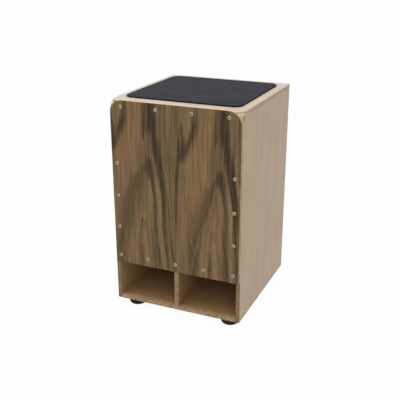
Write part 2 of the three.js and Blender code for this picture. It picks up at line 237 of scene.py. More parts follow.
def floor_material():
    """Matt white, mixed with glowing white by the floor glow where the floor is seen directly."""
    material = bpy.data.materials.new("pale floor")
    tree = empty_tree(material)
    matt = Value(node(tree, "BsdfDiffuse", {"Color": MATT_WHITE}).outputs[0])
    shown = mix_shaders(FLOOR_GLOW, matt, white(tree, "Emission", 1.0))
    node(tree, "OutputMaterial", {"Surface": mix_shaders(seen_directly(tree), matt, shown)})
    return material


def soft_lamp(name, place, target, size, watts):
    """A square lamp at its place that shines along the target less the place."""
    data = bpy.data.lights.new(name, "AREA")
    data.shape = "SQUARE"
    data.size = size
    data.energy = watts
    place_and_aim(bpy.data.objects.new(name, data), place, target - place)


scene.world = white_world()
middle = (cad_low + cad_high) / 2
soft_lamp("top lamp", middle + Vector((-0.3, -0.5, 1.9)), middle, 1.6, TOP_LAMP_WATTS)
soft_lamp("front lamp", middle + Vector((0.9, -2.0, 0.9)), middle, 1.4, FRONT_LAMP_WATTS)
floor_mesh = bpy.data.meshes.new("floor")
floor_signs = ((-1, -1), (1, -1), (1, 1), (-1, 1))
floor_corners = [(x * FLOOR_SIZE, y * FLOOR_SIZE, 0.0) for x, y in floor_signs]
floor_mesh.from_pydata(floor_corners, [], [(0, 1, 2, 3)])
floor_mesh.materials.append(floor_material())
floor = bpy.data.objects.new("floor", floor_mesh)
scene.collection.objects.link(floor)

# %% [markdown]
# From a formula to a mesh
#
# Each surface below is a grid: an array of points over two parameters, such as the depth
# behind the front and the height. A closed piece is a few such grids that share their
# borders. Joining them, merging the shared points and turning all faces outwards gives one
# watertight mesh. Edges sharper than a limit stay crisp, and the rest is shaded smooth.

# %% Grids into pieces
MM = 0.001
MERGE = 0.002 * MM


def points_at(x, y, z):
    """An array of points. Each of x, y and z is a number, a row, a column or a whole grid."""
    return np.stack(np.broadcast_arrays(x, y, z), axis=-1)


def grid_faces(rows, columns, first):
    """The quads of a grid of rows times columns points, whose first point has this number."""
    number = first + np.arange(rows * columns).reshape(rows, columns)
    corners = (number[:-1, :-1], number[:-1, 1:], number[1:, 1:], number[1:, :-1])
    return np.stack([c.ravel() for c in corners], axis=1)


def closed_mesh(name, grids, caps=(), crease=35.0):
    """One mesh from grids and flat caps. A grid is an array of rows, columns and x, y, z, and
    a cap is a ring of points that is closed by one flat face."""
    points = []
    faces = []
    count = 0
    for grid in grids:
        rows, columns = grid.shape[:2]
        faces += grid_faces(rows, columns, count).tolist()
        points.append(grid.reshape(-1, 3))
        count += rows * columns
    for ring in caps:
        faces.append(list(range(count, count + len(ring))))
        points.append(ring)
        count += len(ring)
    mesh = bpy.data.meshes.new(name)
    mesh.from_pydata(np.concatenate(points).tolist(), [], faces)
    work = bmesh.new()
    work.from_mesh(mesh)
    bmesh.ops.remove_doubles(work, verts=work.verts, dist=MERGE)
    bmesh.ops.dissolve_degenerate(work, edges=work.edges, dist=MERGE)
    bmesh.ops.recalc_face_normals(work, faces=work.faces)
    open_edges = sum(not edge.is_manifold for edge in work.edges)
    work.to_mesh(mesh)
    work.free()
    mesh.shade_smooth()
    mesh.set_sharp_from_angle(angle=math.radians(crease))
    print(f"{name}: {len(mesh.polygons)} faces, {open_edges} open edges")
    return mesh


def capped(rings):
    """A closed grid over rings of points, and its first and last ring as flat caps."""
    rings = np.stack(rings)
    return [np.concatenate([rings, rings[:, :1]], axis=1)], [rings[0], rings[-1]]


def slab(outer, inner):
    """The six faces of a board: two grids of equal size, and the four rims between them."""
    rims = [np.stack([outer[row], inner[row]]) for row in (0, -1)]
    rims += [np.stack([outer[:, column], inner[:, column]]) for column in (0, -1)]
    return [outer, inner, *rims]


def show(name, mesh, material, slot, *nodes):
    """Puts a mesh in the scene in place of CAD nodes, with its finish, riding on the one body."""
    piece = bpy.data.objects.new(name, mesh)
    mesh.materials.append(material)
    scene.collection.objects.link(piece)
    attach(piece, "root")
    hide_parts(*nodes)
    return piece


# %% [markdown]
# Colours and shared effects
#
# Colours are written as they look on a screen, in steps of 0 to 255, and a small function
# turns them into the linear values that a shader wants. Effects that more than one finish
# needs are node groups: the fine grain of wood, and the layers that show on the edge of
# plywood. Each finish places the group with its own values.

# %% Colours, steps and noise


def shade(red, green, blue):
    """A screen colour of 0 to 255 as linear red, green, blue and full alpha."""
    screen = np.array([red, green, blue]) / 255
    low = screen / 12.92
    high = ((screen + 0.055) / 1.055) ** 2.4
    return (*np.where(screen <= 0.04045, low, high).tolist(), 1.0)


def blend(share, first, second):
    """The first colour, and as much of the second as the share says."""
    return derive("Mix", {0: share, 6: first, 7: second}, data_type="RGBA")[2]


def smooth_step(value, start, end, low=0.0, high=1.0):
    """A smooth change from low to high while the value goes from start to end."""
    inputs = {"Value": value, "From Min": start, "From Max": end, "To Min": low, "To Max": high}
    return derive("MapRange", inputs, interpolation_type="SMOOTHSTEP")[0]


def noise(vector, scale, detail, roughness):
    """Noise of about 0 to 1 at the vector times the scale, which is one number or three."""
    scale = (scale,) * 3 if isinstance(scale, float) else scale
    place = derive("VectorMath", {0: vector, 1: scale}, operation="MULTIPLY")[0]
    inputs = {"Vector": place, "Scale": 1.0, "Detail": detail, "Roughness": roughness}
    return derive("TexNoise", inputs, noise_dimensions="3D")[0]


print("middle grey, 128 on a screen, in linear numbers:", round(shade(128, 128, 128)[0], 3))

# %% Groups of nodes
VECTORS = ("Position", "Along Grain", "Grain")


def joined(x, y, z):
    """A vector of three values."""
    return derive("CombineXYZ", {0: x, 1: y, 2: z})[0]


def feed(target, **values):
    """Links values into a node's inputs, whose names are written with underscores."""
    for name, value in values.items():
        value.tree.links.new(value.socket, target.inputs[name.replace("_", " ")])


def new_group(name, inputs, outputs):
    """A shader node group, its inputs as values by name, and the node for its outputs. The
    inputs map a name to its usual number, and vectors have none."""
    group = bpy.data.node_groups.new(name, "ShaderNodeTree")
    for direction, labels in (("INPUT", inputs), ("OUTPUT", outputs)):
        for label in labels:
            kind = "NodeSocketVector" if label in VECTORS else "NodeSocketFloat"
            socket = group.interface.new_socket(label, in_out=direction, socket_type=kind)
            if direction == "INPUT" and label not in VECTORS:
                socket.default_value = inputs[label]
    start = group.nodes.new("NodeGroupInput")
    end = group.nodes.new("NodeGroupOutput")
    return group, {label: Value(start.outputs[label]) for label in inputs}, end


def placed(group, inputs):
    """A group node with its own values. Its outputs are values by name."""
    made = node(tree_of(inputs), "Group", inputs, node_tree=group)
    return {socket.name: Value(socket) for socket in made.outputs}


# %% Fine grain, as a group
#
# Fibres are noise that is narrow across the grain and long along it. Clouds are wide, soft
# changes of tone. Pores are the darkest short strokes of a finer noise.


def fine_grain_group():
    """Three noises over the widths and lengths that its inputs give, the pores cut at a level."""
    usual = {
        "Along Grain": None,
        "Fibre Width": 0.8 * MM,
        "Fibre Length": 60 * MM,
        "Cloud Width": 30 * MM,
        "Pore Width": 0.35 * MM,
        "Pore Length": 6 * MM,
    }
    group, given, result = new_group("fine grain", usual, ("Fibres", "Clouds", "Pores"))

    def strokes(width, length, detail, roughness):
        """Noise with features of this width and length: the position over both."""
        across = 1.0 / width
        return noise(given["Along Grain"], joined(across, across, 1.0 / length), detail, roughness)

    short = strokes(given["Pore Width"], given["Pore Length"], 1.0, 0.5)
    feed(
        result,
        Fibres=strokes(given["Fibre Width"], given["Fibre Length"], 4.0, 0.6),
        Clouds=strokes(given["Cloud Width"], given["Cloud Width"] * 4.0, 2.0, 0.5),
        Pores=smooth_step(short, 0.62, 0.72),
    )
    return group


FINE_GRAIN = fine_grain_group()
print("fine grain:", len(FINE_GRAIN.nodes), "nodes")

# %% Ply edge, as a group
#
# A board of plywood is a stack of thin plies. Every second one, the crossband, shows its
# end grain on the edge of the board and is darker. The group gets the depth under the face
# veneer and answers how much of two crossbands shows there. Noise makes the glue lines wavy.


def clamped(value):
    """The result of a Math node, kept between 0 and 1."""
    value.socket.node.use_clamp = True
    return value


def ply_edge_group():
    """The share of each crossband at the depth plus a little noise, and blotches of noise."""
    usual = {
        "Position": None,
        "Depth": 0.0,
        "First Start": 1.0 * MM,
        "First End": 2.6 * MM,
        "Second Start": 4.2 * MM,
        "Second End": 5.4 * MM,
        "Blur": 0.25 * MM,
        "Waviness": 0.5 * MM,
    }
    group, given, result = new_group("ply edge", usual, ("First", "Second", "Blotches"))
    waves = noise(given["Position"], 90.0, 2.0, 0.6) - 0.5
    depth = given["Depth"] + waves * given["Waviness"]

    def band(which):
        """How far in past the start, times how far before the end, both in blurs."""
        enter = clamped((depth - given[which + " Start"]) / given["Blur"])
        leave = clamped((given[which + " End"] - depth) / given["Blur"])
        return enter * leave

    blotches = noise(given["Position"], 160.0, 3.0, 0.6)
    feed(result, First=band("First"), Second=band("Second"), Blotches=blotches)
    return group


PLY_EDGE = ply_edge_group()
print("ply edge:", len(PLY_EDGE.nodes), "nodes")

# %% [markdown]
# The box's form
#
# The box is glued up first and sanded as one: all its outer edges get a small radius, and
# the two front top corners, which the hands strike, a large one that runs out along the
# box. So every outer surface of the panels is one function of the depth behind the front
# and the height. The sizes come from the frame, and only radii are written here.

# %% Sizes of the box
EDGE_RADIUS = 2.5 * MM
EASED_EDGE = 0.8 * MM
PLAYING_RADIUS = 29 * MM
PLAYING_LENGTH = 38 * MM
PLAYING_POWER = 3
GLUE_LINE = 0.05 * MM
PAST_ROUND = 0.5 * MM
ROUND_STEPS = 8
RUN_OUT_ROWS = 20
FLAT_ROWS = 6

side_low, side_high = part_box("side_panel_right")
top_low, top_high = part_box("top_panel")
back_low, back_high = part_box("back_panel")
HALF_WIDTH = top_high.x
INNER_HALF = side_low.x
FRONT = side_low.y
DEPTH = side_high.y - FRONT
UNDERSIDE = side_low.z
SEAT_TOP = top_high.z
SEAT_UNDER = top_low.z
REBATE_DEPTH = back_low.y - FRONT
REBATE_HALF = back_high.x + GLUE_LINE
REBATE_LOW = back_low.z - GLUE_LINE
REBATE_HIGH = back_high.z + GLUE_LINE
print("box in mm:", [round(v / MM, 1) for v in (2 * HALF_WIDTH, DEPTH, SEAT_TOP - UNDERSIDE)])


def round_inset(radius, depth):
    """How far a quarter round stands back, this deep behind its end face: the radius less the
    root of radius squared minus (radius - depth) squared, and nothing past the radius."""
    reach = np.clip(radius - depth, 0, radius)
    return radius - np.sqrt(radius**2 - reach**2)


def quarter_turn(steps):
    """The angles of a quarter of a circle in even steps."""
    return np.linspace(0, math.pi / 2, steps + 1)


def quarter_depths(radius, steps):
    """Depths that sample a quarter round evenly by angle, from its end face inwards."""
    return radius * (1 - np.cos(quarter_turn(steps)))


def playing_radius(depth):
    """The corner radius at this depth: the edge radius, and over it the rest of the playing
    radius times (1 - depth / length) to the third power."""
    left = np.clip(1 - depth / PLAYING_LENGTH, 0, 1)
    return EDGE_RADIUS + (PLAYING_RADIUS - EDGE_RADIUS) * left**PLAYING_POWER


def edge_inset(depth):
    """How far the sides stand back where the front and back edges are rounded."""
    return round_inset(EDGE_RADIUS, depth) + round_inset(EDGE_RADIUS, DEPTH - depth)


def top_height(depth):
    """The height of the seat, lower only where the back edge is rounded."""
    return SEAT_TOP - round_inset(EDGE_RADIUS, DEPTH - depth)


def outer_half(depth, height):
    """Half the width of the box: its half width less the inset of the front and back edges
    and less the inset of the top corner's round."""
    corner = round_inset(playing_radius(depth), top_height(depth) - height)
    return HALF_WIDTH - edge_inset(depth) - corner


def box_depths():
    """Depths from the front to the back face, close together on rounds, with the rebate's
    depth twice, because the inner face steps there."""
    front = quarter_depths(EDGE_RADIUS, ROUND_STEPS)
    run_out = np.linspace(EDGE_RADIUS + PAST_ROUND, PLAYING_LENGTH, RUN_OUT_ROWS)
    flat = np.linspace(PLAYING_LENGTH, REBATE_DEPTH, FLAT_ROWS + 1)[1:]
    rear = np.array([REBATE_DEPTH, DEPTH - EDGE_RADIUS - PAST_ROUND])
    return np.concatenate([front, run_out, flat, rear, DEPTH - front[::-1]])


DEPTHS = box_depths()[:, None]
REAR_ROWS = (np.arange(len(DEPTHS)) > np.searchsorted(DEPTHS[:, 0], REBATE_DEPTH))[:, None]
print("depths:", len(DEPTHS), "of them behind the rebate:", int(REAR_ROWS.sum()))

# %% [markdown]
# Plywood
#
# The box is beech plywood under a satin lacquer. Its face veneer is even and tan, with fine
# fibres, short dark ray flecks and soft clouds. Where the sanding has cut through the face,
# the brown crossband shows. The inner faces were never lacquered and are warmer and duller,
# and so are the cut edges round the ports, whose end grain has drawn in dust and oil from
# hands. One function makes all these finishes. What differs is which way the depth under
# the face is measured, which way the grain runs, and where and how strong the plies are.

# %% Woods and plies
CROSSBAND = shade(132, 102, 76)
SECOND_BAND = shade(170, 143, 112)
EDGE_WOOD = shade(206, 186, 158)
RAW_FACE = shade(173, 138, 97)
# Painted shade: a darker copy of the raw wood, for the divider that stands inside the ports.
RAW_IN_PORT_SHADE = shade(158, 123, 82)
# Painted light: pale raw wood just behind the ports' front edges, where light falls in at their mouths.
PORT_MOUTH_LIGHT = shade(188, 156, 116)
CUT_LIGHT = shade(170, 146, 112)
CUT_MIDDLE = shade(156, 132, 101)
CUT_DULL = shade(140, 114, 84)
CUT_DARK = shade(112, 86, 60)
CLEAR_PLIES = {"core": EDGE_WOOD, "first": CROSSBAND, "second": SECOND_BAND}
FAINT_PLIES = {
    "core": shade(180, 155, 127),
    "first": shade(178, 148, 119),
    "second": shade(158, 130, 102),
}
PLIES_FADE = (2 * MM, 60 * MM)
SHARP = 0.25 * MM
BOARD = 9 * MM
RAW_SKIN = 0.3 * MM
WOOD_GLOSS = 0.2
PORT_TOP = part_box("port_divider")[1].z
print("the cut edges end", round(PORT_TOP / MM, 1), "mm above the ground")

# %% What every finish needs


def split(vector):
    """The x, y and z of a vector."""
    return derive("SeparateXYZ", {0: vector})


def scaled(colour, amount):
    """A colour that is this many times as bright, and opaque."""
    return (*(min(amount * part, 1.0) for part in colour[:3]), 1.0)


def new_material(name, gloss=0.5):
    """A material, its Principled shader, and the Object coordinates, which are the drum's
    own. The gloss is the specular level: 0.5 is a closed shiny film, and open wood or foam
    mirrors far less."""
    material = bpy.data.materials.new(name)
    tree = empty_tree(material)
    shader = node(tree, "BsdfPrincipled", {"Specular IOR Level": gloss})
    node(tree, "OutputMaterial", {"Surface": Value(shader.outputs[0])})
    return material, shader, Value(node(tree, "TexCoord").outputs["Object"])


def paint(shader, colour, roughness, relief, strength, depth):
    """Gives a shader its colour, its roughness, and bumps where the relief is high."""
    bump = derive("Bump", {"Strength": strength, "Distance": depth, "Height": relief})[0]
    feed(shader, Base_Color=colour, Roughness=roughness, Normal=bump)


# %% Where a point lies in its board
#
# How deep a point lies under the outer face of its board is counted from the box's sides,
# its back, a face at one height, or both faces of a board that stands on edge.


def turned_grain(axes, along):
    """The position with the axis that the grain follows put last."""
    order = {"X": (1, 2, 0), "Y": (2, 0, 1), "Z": (0, 1, 2)}[along]
    return joined(*(axes[axis] for axis in order))


def depth_from_sides(axes):
    """Half the width of the box less the distance from its middle."""
    return HALF_WIDTH - abs(axes[0])


def depth_from_back(axes):
    """The back face less the place from front to back."""
    return FRONT + DEPTH - axes[1]


def depth_from_height(face_height):
    """A depth that is the distance up or down to the level of a face."""
    return lambda axes: abs(face_height - axes[2])


def depth_from_middle(middle_x, half_thickness):
    """A depth that is half a board's thickness less the distance from its middle plane."""
    return lambda axes: half_thickness - abs(axes[0] - middle_x)


# %% Cut edges and raw wood


def cut_edge(axes, layers, wood):
    """The dull cut edges round the ports, and 1 where they are: on the front edge, lower
    than the ports' roof."""
    at_front = smooth_step(axes[1], FRONT + 0.7 * MM, FRONT + 1.8 * MM, 1.0, 0.0)
    share = at_front * calculate("LESS_THAN", axes[2], PORT_TOP)
    bands = larger(layers["First"], layers["Second"])
    stains = smooth_step(layers["Blotches"], 0.42, 0.62, 0.05, 1.0)
    return blend(stains * (bands * 0.55 + 0.45), wood, CUT_DARK), share


def raw_wood(axes, layers, fibres, raw, worn):
    """Bare wood with darker fibres. Up to a depth of about worn it is painted pale, as painted
    light falling in at the ports' mouths, with a few dark spots, and noise makes the end of
    the pale strip uneven."""
    wood = blend(fibres, raw, scaled(raw, 0.72))
    if worn:
        behind = layers["Blotches"] * worn + axes[1]
        # Painted light: the raw wood turns pale up to about worn behind the front, with a few dark spots.
        port_light_share = smooth_step(behind, FRONT + 1.2 * worn, FRONT + 1.7 * worn, 0.85, 0.0)
        spots = smooth_step(layers["Blotches"], 0.46, 0.62, 0.0, 0.45)
        wood = blend(port_light_share, wood, blend(spots, PORT_MOUTH_LIGHT, CUT_DARK))
    return wood


# %% The plywood finish


def plywood(
    name, face, depth_of, along, bands,
    far=CLEAR_PLIES, blur=SHARP, cut=CUT_LIGHT, raw=RAW_FACE, raw_outside=False, worn=0.0,
):
    """A lacquered face over the plies of a board. The bands are where the two crossbands
    start and end under the face. The rest are the plies' colours away from the front, the
    blur between them, the wood of the cut edges beside the ports, the raw wood of the
    inside, whether the outside is raw too, and how far behind the ports' edges the raw wood
    is painted pale, as painted light falling in at the ports' mouths."""
    material, shader, position = new_material(name, WOOD_GLOSS)
    axes = split(position)
    depth = depth_of(axes)
    grain = placed(FINE_GRAIN, {"Along Grain": turned_grain(axes, along)})
    places = dict(zip(("First Start", "First End", "Second Start", "Second End"), bands))
    layers = placed(PLY_EDGE, {"Position": position, "Depth": depth, "Blur": blur, **places})
    away = smooth_step(axes[1], FRONT + PLIES_FADE[0], FRONT + PLIES_FADE[1])
    plies = {ply: blend(away, CLEAR_PLIES[ply], far[ply]) for ply in CLEAR_PLIES}

    darker = scaled(face, 0.80)
    fibres = smooth_step(grain["Fibres"], 0.30, 0.70)
    clouds = smooth_step(grain["Clouds"], 0.25, 0.75)
    lacquered = blend(clouds * 0.35, scaled(face, 1.06), darker)
    lacquered = blend(fibres * 0.22, lacquered, darker)
    lacquered = blend(grain["Pores"] * 0.35, lacquered, CROSSBAND)

    edge = blend(layers["Blotches"] * 0.3, plies["core"], plies["second"])
    edge = blend(layers["Second"] * 0.8, edge, plies["second"])
    blotchy = smooth_step(layers["Blotches"], 0.35, 0.65, 0.45, 1.0)
    edge = blend(layers["First"] * blotchy, edge, plies["first"])
    sanded_through = 1.0 - calculate("LESS_THAN", depth, bands[0])

    inside = calculate("GREATER_THAN", depth, BOARD - RAW_SKIN)
    if raw_outside:
        inside = larger(inside, calculate("LESS_THAN", depth, RAW_SKIN))
    colour = blend(sanded_through, lacquered, edge)
    colour = blend(inside, colour, raw_wood(axes, layers, fibres, raw, worn))
    cut_colour, cut_share = cut_edge(axes, layers, cut)
    colour = blend(cut_share, colour, cut_colour)

    dull = larger(inside, layers["First"] * 0.5)
    roughness = smooth_step(grain["Clouds"], 0.2, 0.8, 0.42, 0.52) + dull * 0.3
    paint(shader, colour, roughness, fibres - grain["Pores"] * 0.8, 0.25, 0.05 * MM)
    return material


# %% Plywood of the outer boards
SIDE_FACE = shade(190, 168, 141)
SEAT_FACE = shade(209, 191, 173)
SIDE_BANDS = (0.9 * MM, 2.9 * MM, 4.2 * MM, 6.2 * MM)
SEAT_BANDS = (2.2 * MM, 5.4 * MM, 8.2 * MM, 9.2 * MM)
SEAT_BLUR = 0.9 * MM
# How far behind the front the painted light pales the sides' raw inner faces by the ports.
SIDE_PORT_LIGHT_DEPTH = 4 * MM
side_ply = plywood(
    "side plywood", SIDE_FACE, depth_from_sides, "Z", SIDE_BANDS, cut=CUT_DULL, worn=SIDE_PORT_LIGHT_DEPTH,
)
seat_ply = plywood(
    "seat plywood", SEAT_FACE, depth_from_height(SEAT_TOP), "X", SEAT_BANDS,
    far=FAINT_PLIES, blur=SEAT_BLUR,
)
back_ply = plywood("back plywood", SIDE_FACE, depth_from_back, "Z", SIDE_BANDS)
print("finishes:", [material.name for material in (side_ply, seat_ply, back_ply)])

# %% [markdown]
# Side panels
#
# Each side is a board between a curved outer face and a flat inner face. The outer face is
# the box's form at each depth and height. Near the front top corner the sanding goes
# through the whole board, so there the rows end where the two faces meet. At the back the
# inner face steps out to the rebate that holds the back panel.

# %% Side panels
SIDE_HEIGHTS = (60 * MM, 200 * MM, 350 * MM)
TOP_ROWS = 22


def side_top(depth):
    """Where the side ends below the seat board: at its underside, or lower where the playing
    corner has already reached the inner face. There the corner's inset equals the thickness,
    so the drop is radius - root(radius squared - (radius - thickness) squared)."""
    radius = playing_radius(depth)
    thickness = HALF_WIDTH - edge_inset(depth) - INNER_HALF
    left = np.clip(radius - thickness, 0, None)
    drop = radius - np.sqrt(radius**2 - left**2)
    return np.minimum(SEAT_UNDER, np.where(left > 0, SEAT_TOP - drop, SEAT_UNDER))


def side_grids(sign):
    """Rows up the foot's round, over the rebate's step, and on to the top."""
    low = UNDERSIDE + edge_inset(DEPTHS)
    foot = quarter_depths(EDGE_RADIUS, ROUND_STEPS)[None, :]
    rebate = REBATE_LOW - UNDERSIDE
    step = np.array([[rebate, rebate, *SIDE_HEIGHTS]])
    start = SEAT_TOP - PLAYING_RADIUS - 2 * MM
    climb = np.linspace(0, 1, TOP_ROWS)[None, :]
    rows = [low + foot, UNDERSIDE + step + 0 * DEPTHS, start + (side_top(DEPTHS) - start) * climb]
    height = np.concatenate(rows, axis=1)
    above_step = np.arange(height.shape[1])[None, :] > foot.shape[1]
    outer_x = outer_half(DEPTHS, height) - round_inset(EDGE_RADIUS, height - low)
    inner_x = np.where(REAR_ROWS & above_step, REBATE_HALF, INNER_HALF + round_inset(EASED_EDGE, DEPTHS))
    inner_x = np.minimum(inner_x, outer_x)
    return slab(*(points_at(sign * x, FRONT + DEPTHS, height) for x in (outer_x, inner_x)))


for sign, side in ((-1, "left"), (1, "right")):
    mesh = closed_mesh(f"{side}_side_board", side_grids(sign))
    show(f"{side}_side_board", mesh, side_ply, "side_ply", f"side_panel_{side}")

# %% [markdown]
# Seat board
#
# The top of the box lies full width over the sides. Seen from the front, its outline climbs
# the corner round, crosses the flat seat and comes down the other corner. The same ring is
# taken at every depth. Heights that follow a sine put the points evenly along rounds of
# any radius.

# %% Seat board
CLIMB_STEPS = 17
FLAT_POINTS = 16


def there_and_back(right, flat, left):
    """Rows from the right side over the middle to the left side, which is given from its foot
    upwards, as the right side is."""
    return np.concatenate([right, flat, left[:, ::-1]], axis=1)


def seat_grids():
    """The outline over the seat, and below it the flat underside with the rebate's step."""
    climb = np.sin(quarter_turn(CLIMB_STEPS))[None, :]
    top = top_height(DEPTHS)
    right_z = SEAT_UNDER + (top - SEAT_UNDER) * climb
    right_x = outer_half(DEPTHS, right_z)
    across = np.concatenate([[1.0], np.linspace(0.995, -0.995, FLAT_POINTS), [-1.0]])[None, :]
    flat_x = (HALF_WIDTH - edge_inset(DEPTHS) - playing_radius(DEPTHS)) * across
    outer_x = there_and_back(right_x, flat_x, -right_x)
    outer_z = there_and_back(right_z, top + 0 * flat_x, right_z)

    cut = outer_half(DEPTHS, SEAT_UNDER)
    shoulder = np.minimum(REBATE_HALF, cut)
    under_x = cut + (shoulder - cut) * np.linspace(0, 1, climb.size)[None, :]
    inner_x = there_and_back(under_x, shoulder * across, -under_x)
    from_middle = np.abs(np.arange(inner_x.shape[1]) - (inner_x.shape[1] - 1) / 2)
    in_rebate = REAR_ROWS & (from_middle < across.size / 2)
    inner_z = np.where(in_rebate, REBATE_HIGH, SEAT_UNDER)
    y = FRONT + DEPTHS
    return slab(points_at(outer_x, y, outer_z), points_at(inner_x, y, inner_z))


show("seat_board", closed_mesh("seat_board", seat_grids()), seat_ply, "seat_ply", "top_panel")

# %% [markdown]
# Port floor, divider and roof
#
# The bottom panel is the floor of both ports, and a divider stands between it and the roof.
# Their front edges show the plies, eased by a light sanding. The roof is hidden behind the
# tapa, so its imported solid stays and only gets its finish.

# %% Port floor and divider
floor_low, floor_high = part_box("bottom_panel")
divider_low, divider_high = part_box("port_divider")
roof_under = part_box("port_shelf")[0].z
divider_x = (divider_low.x + divider_high.x) / 2
divider_half = (divider_high.x - divider_low.x) / 2
FLOOR_BANDS = (0.3 * MM, 2.0 * MM, 4.4 * MM, 5.4 * MM)
DIVIDER_BANDS = (0.9 * MM, 2.0 * MM, 3.8 * MM, 4.5 * MM)
# How far behind the front the painted light pales the raw wood of the floor and the divider.
FLOOR_PORT_LIGHT_DEPTH = 12 * MM
DIVIDER_PORT_LIGHT_DEPTH = 5 * MM
floor_ply = plywood(
    "port floor plywood", RAW_FACE, depth_from_height(floor_low.z), "X", FLOOR_BANDS, worn=FLOOR_PORT_LIGHT_DEPTH,
)
# The divider's raw wood is darkened as painted shade inside the ports.
divider_ply = plywood(
    "divider plywood", RAW_IN_PORT_SHADE, depth_from_middle(divider_x, divider_half), "Y", DIVIDER_BANDS,
    cut=CUT_MIDDLE, raw=RAW_IN_PORT_SHADE, raw_outside=True, worn=DIVIDER_PORT_LIGHT_DEPTH,
)
roof_ply = plywood("port roof plywood", RAW_FACE, depth_from_height(roof_under), "X", FLOOR_BANDS)


def floor_grids():
    """A flat board with an eased front edge, which steps down to the rebate at the back."""
    x = np.linspace(floor_low.x, floor_high.x, 9)[None, :]
    under = floor_low.z + edge_inset(DEPTHS)
    over = np.where(REAR_ROWS, REBATE_LOW, floor_high.z - round_inset(EASED_EDGE, DEPTHS))
    return slab(*(points_at(x, FRONT + DEPTHS, z) for z in (over, under)))


def divider_grids():
    """A board on edge. Its half thickness shrinks by a quarter round at the front and rear."""
    length = divider_high.y - divider_low.y
    ends = quarter_depths(EASED_EDGE, 5)
    between = np.linspace(2 * MM, length - 2 * MM, 6)
    depth = np.concatenate([ends, between, length - ends[::-1]])[:, None]
    height = np.linspace(divider_low.z, divider_high.z, 6)[None, :]
    half = divider_half - round_inset(EASED_EDGE, depth) - round_inset(EASED_EDGE, length - depth)
    y = divider_low.y + depth
    return slab(*(points_at(x, y, height) for x in (divider_x + half, divider_x - half)))


show("port_floor", closed_mesh("port_floor", floor_grids()), floor_ply, "port_ply", "bottom_panel")
show("port_wall", closed_mesh("port_wall", divider_grids()), divider_ply, "port_ply", "port_divider")


def dress(material, *nodes):
    """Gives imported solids, whose shape stays, their finish."""
    for name in nodes:
        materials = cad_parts[name].data.materials
        materials.clear()
        materials.append(material)


dress(roof_ply, "port_shelf")
dress(back_ply, "back_panel")

# %% [markdown]
# Tapa
#
# The tapa is a plate of thin plywood with a walnut veneer. Its outline is a rectangle with
# two large top corners, and its front edge is eased, which bares the light core all round.

# %% The tapa's plate
TAPA_RADIUS = 29 * MM
TAPA_FOOT_RADIUS = 2 * MM
SMALLEST_RADIUS = 0.2 * MM
tapa_low, tapa_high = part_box("tapa")


def rounded_outline(half, low, high, low_radius, high_radius, steps=24):
    """A rectangle with four round corners, counterclockwise from the lower right one, as an
    array of two columns: each corner is its centre plus its radius times cosine and sine."""
    corners = (
        (half - low_radius, low + low_radius, low_radius),
        (half - high_radius, high - high_radius, high_radius),
        (high_radius - half, high - high_radius, high_radius),
        (low_radius - half, low + low_radius, low_radius),
    )
    arcs = []
    for quarter, (across, up, radius) in enumerate(corners):
        angle = quarter_turn(steps) + (quarter - 1) * math.pi / 2
        arcs.append(np.stack([across + radius * np.cos(angle), up + radius * np.sin(angle)], axis=1))
    return np.concatenate(arcs)


def tapa_ring(inset, depth):
    """The tapa's outline, shrunk by the inset, at this depth behind its face."""
    foot_radius = max(TAPA_FOOT_RADIUS - inset, SMALLEST_RADIUS)
    sides = (tapa_high.x - inset, tapa_low.z + inset, tapa_high.z - inset)
    ring = rounded_outline(*sides, foot_radius, TAPA_RADIUS - inset)
    return points_at(ring[:, 0], tapa_low.y + depth, ring[:, 1])


def tapa_rings():
    """Over the eased edge, and back to the box."""
    eased = [tapa_ring(round_inset(EASED_EDGE, d), d) for d in quarter_depths(EASED_EDGE, 6)]
    return [*eased, tapa_ring(0, tapa_high.y - tapa_low.y)]


tapa_mesh = closed_mesh("playing_plate", *capped(tapa_rings()))

# %% [markdown]
# Walnut veneer
#
# The tapa's face is two leaves of walnut cut one after the other from the same block and
# laid side by side, so the same figure shows twice. The figure is a cathedral: an arch
# whose legs run down, a larger one outside it that leaves the plate at the top, and fine
# lines between them. A picture could paint this, but here it is worked out. Each streak is
# one curves node, whose three curves give its place across the leaf, its half width and its
# darkness at every height. Noise that is long along the grain shifts the height before the
# curves are read, and this frays the arches into flames, as in wood. The fine lines are
# noise in a coordinate that follows the legs, as growth lines do, and where a streak fades
# they decide which fibres are still dark. Beside the streaks there are soft shadows, pale
# streaks, and fields of warmer wood. The second leaf reads the same noise a little deeper in
# the block and its arch is narrower on the left, so it is not a copy of the first.

# %% The veneer's leaves, as a group
LEAF_WIDTH = 162.0
SEAM_X = 2.0
LEAF_DEPTH = 0.3
SECOND_LEAF_DROP = 5.0
ARCH_AXIS = 97.0
SECOND_LEAF_SQUEEZE = 0.75
TAPA_TALL = (tapa_high.z - tapa_low.z) / MM


def along_fibres(grain, wide, tall, detail, roughness):
    """Noise whose features are this wide across the grain and this tall along it."""
    return noise(grain, (1 / wide, 1 / tall, 1.0), detail, roughness)


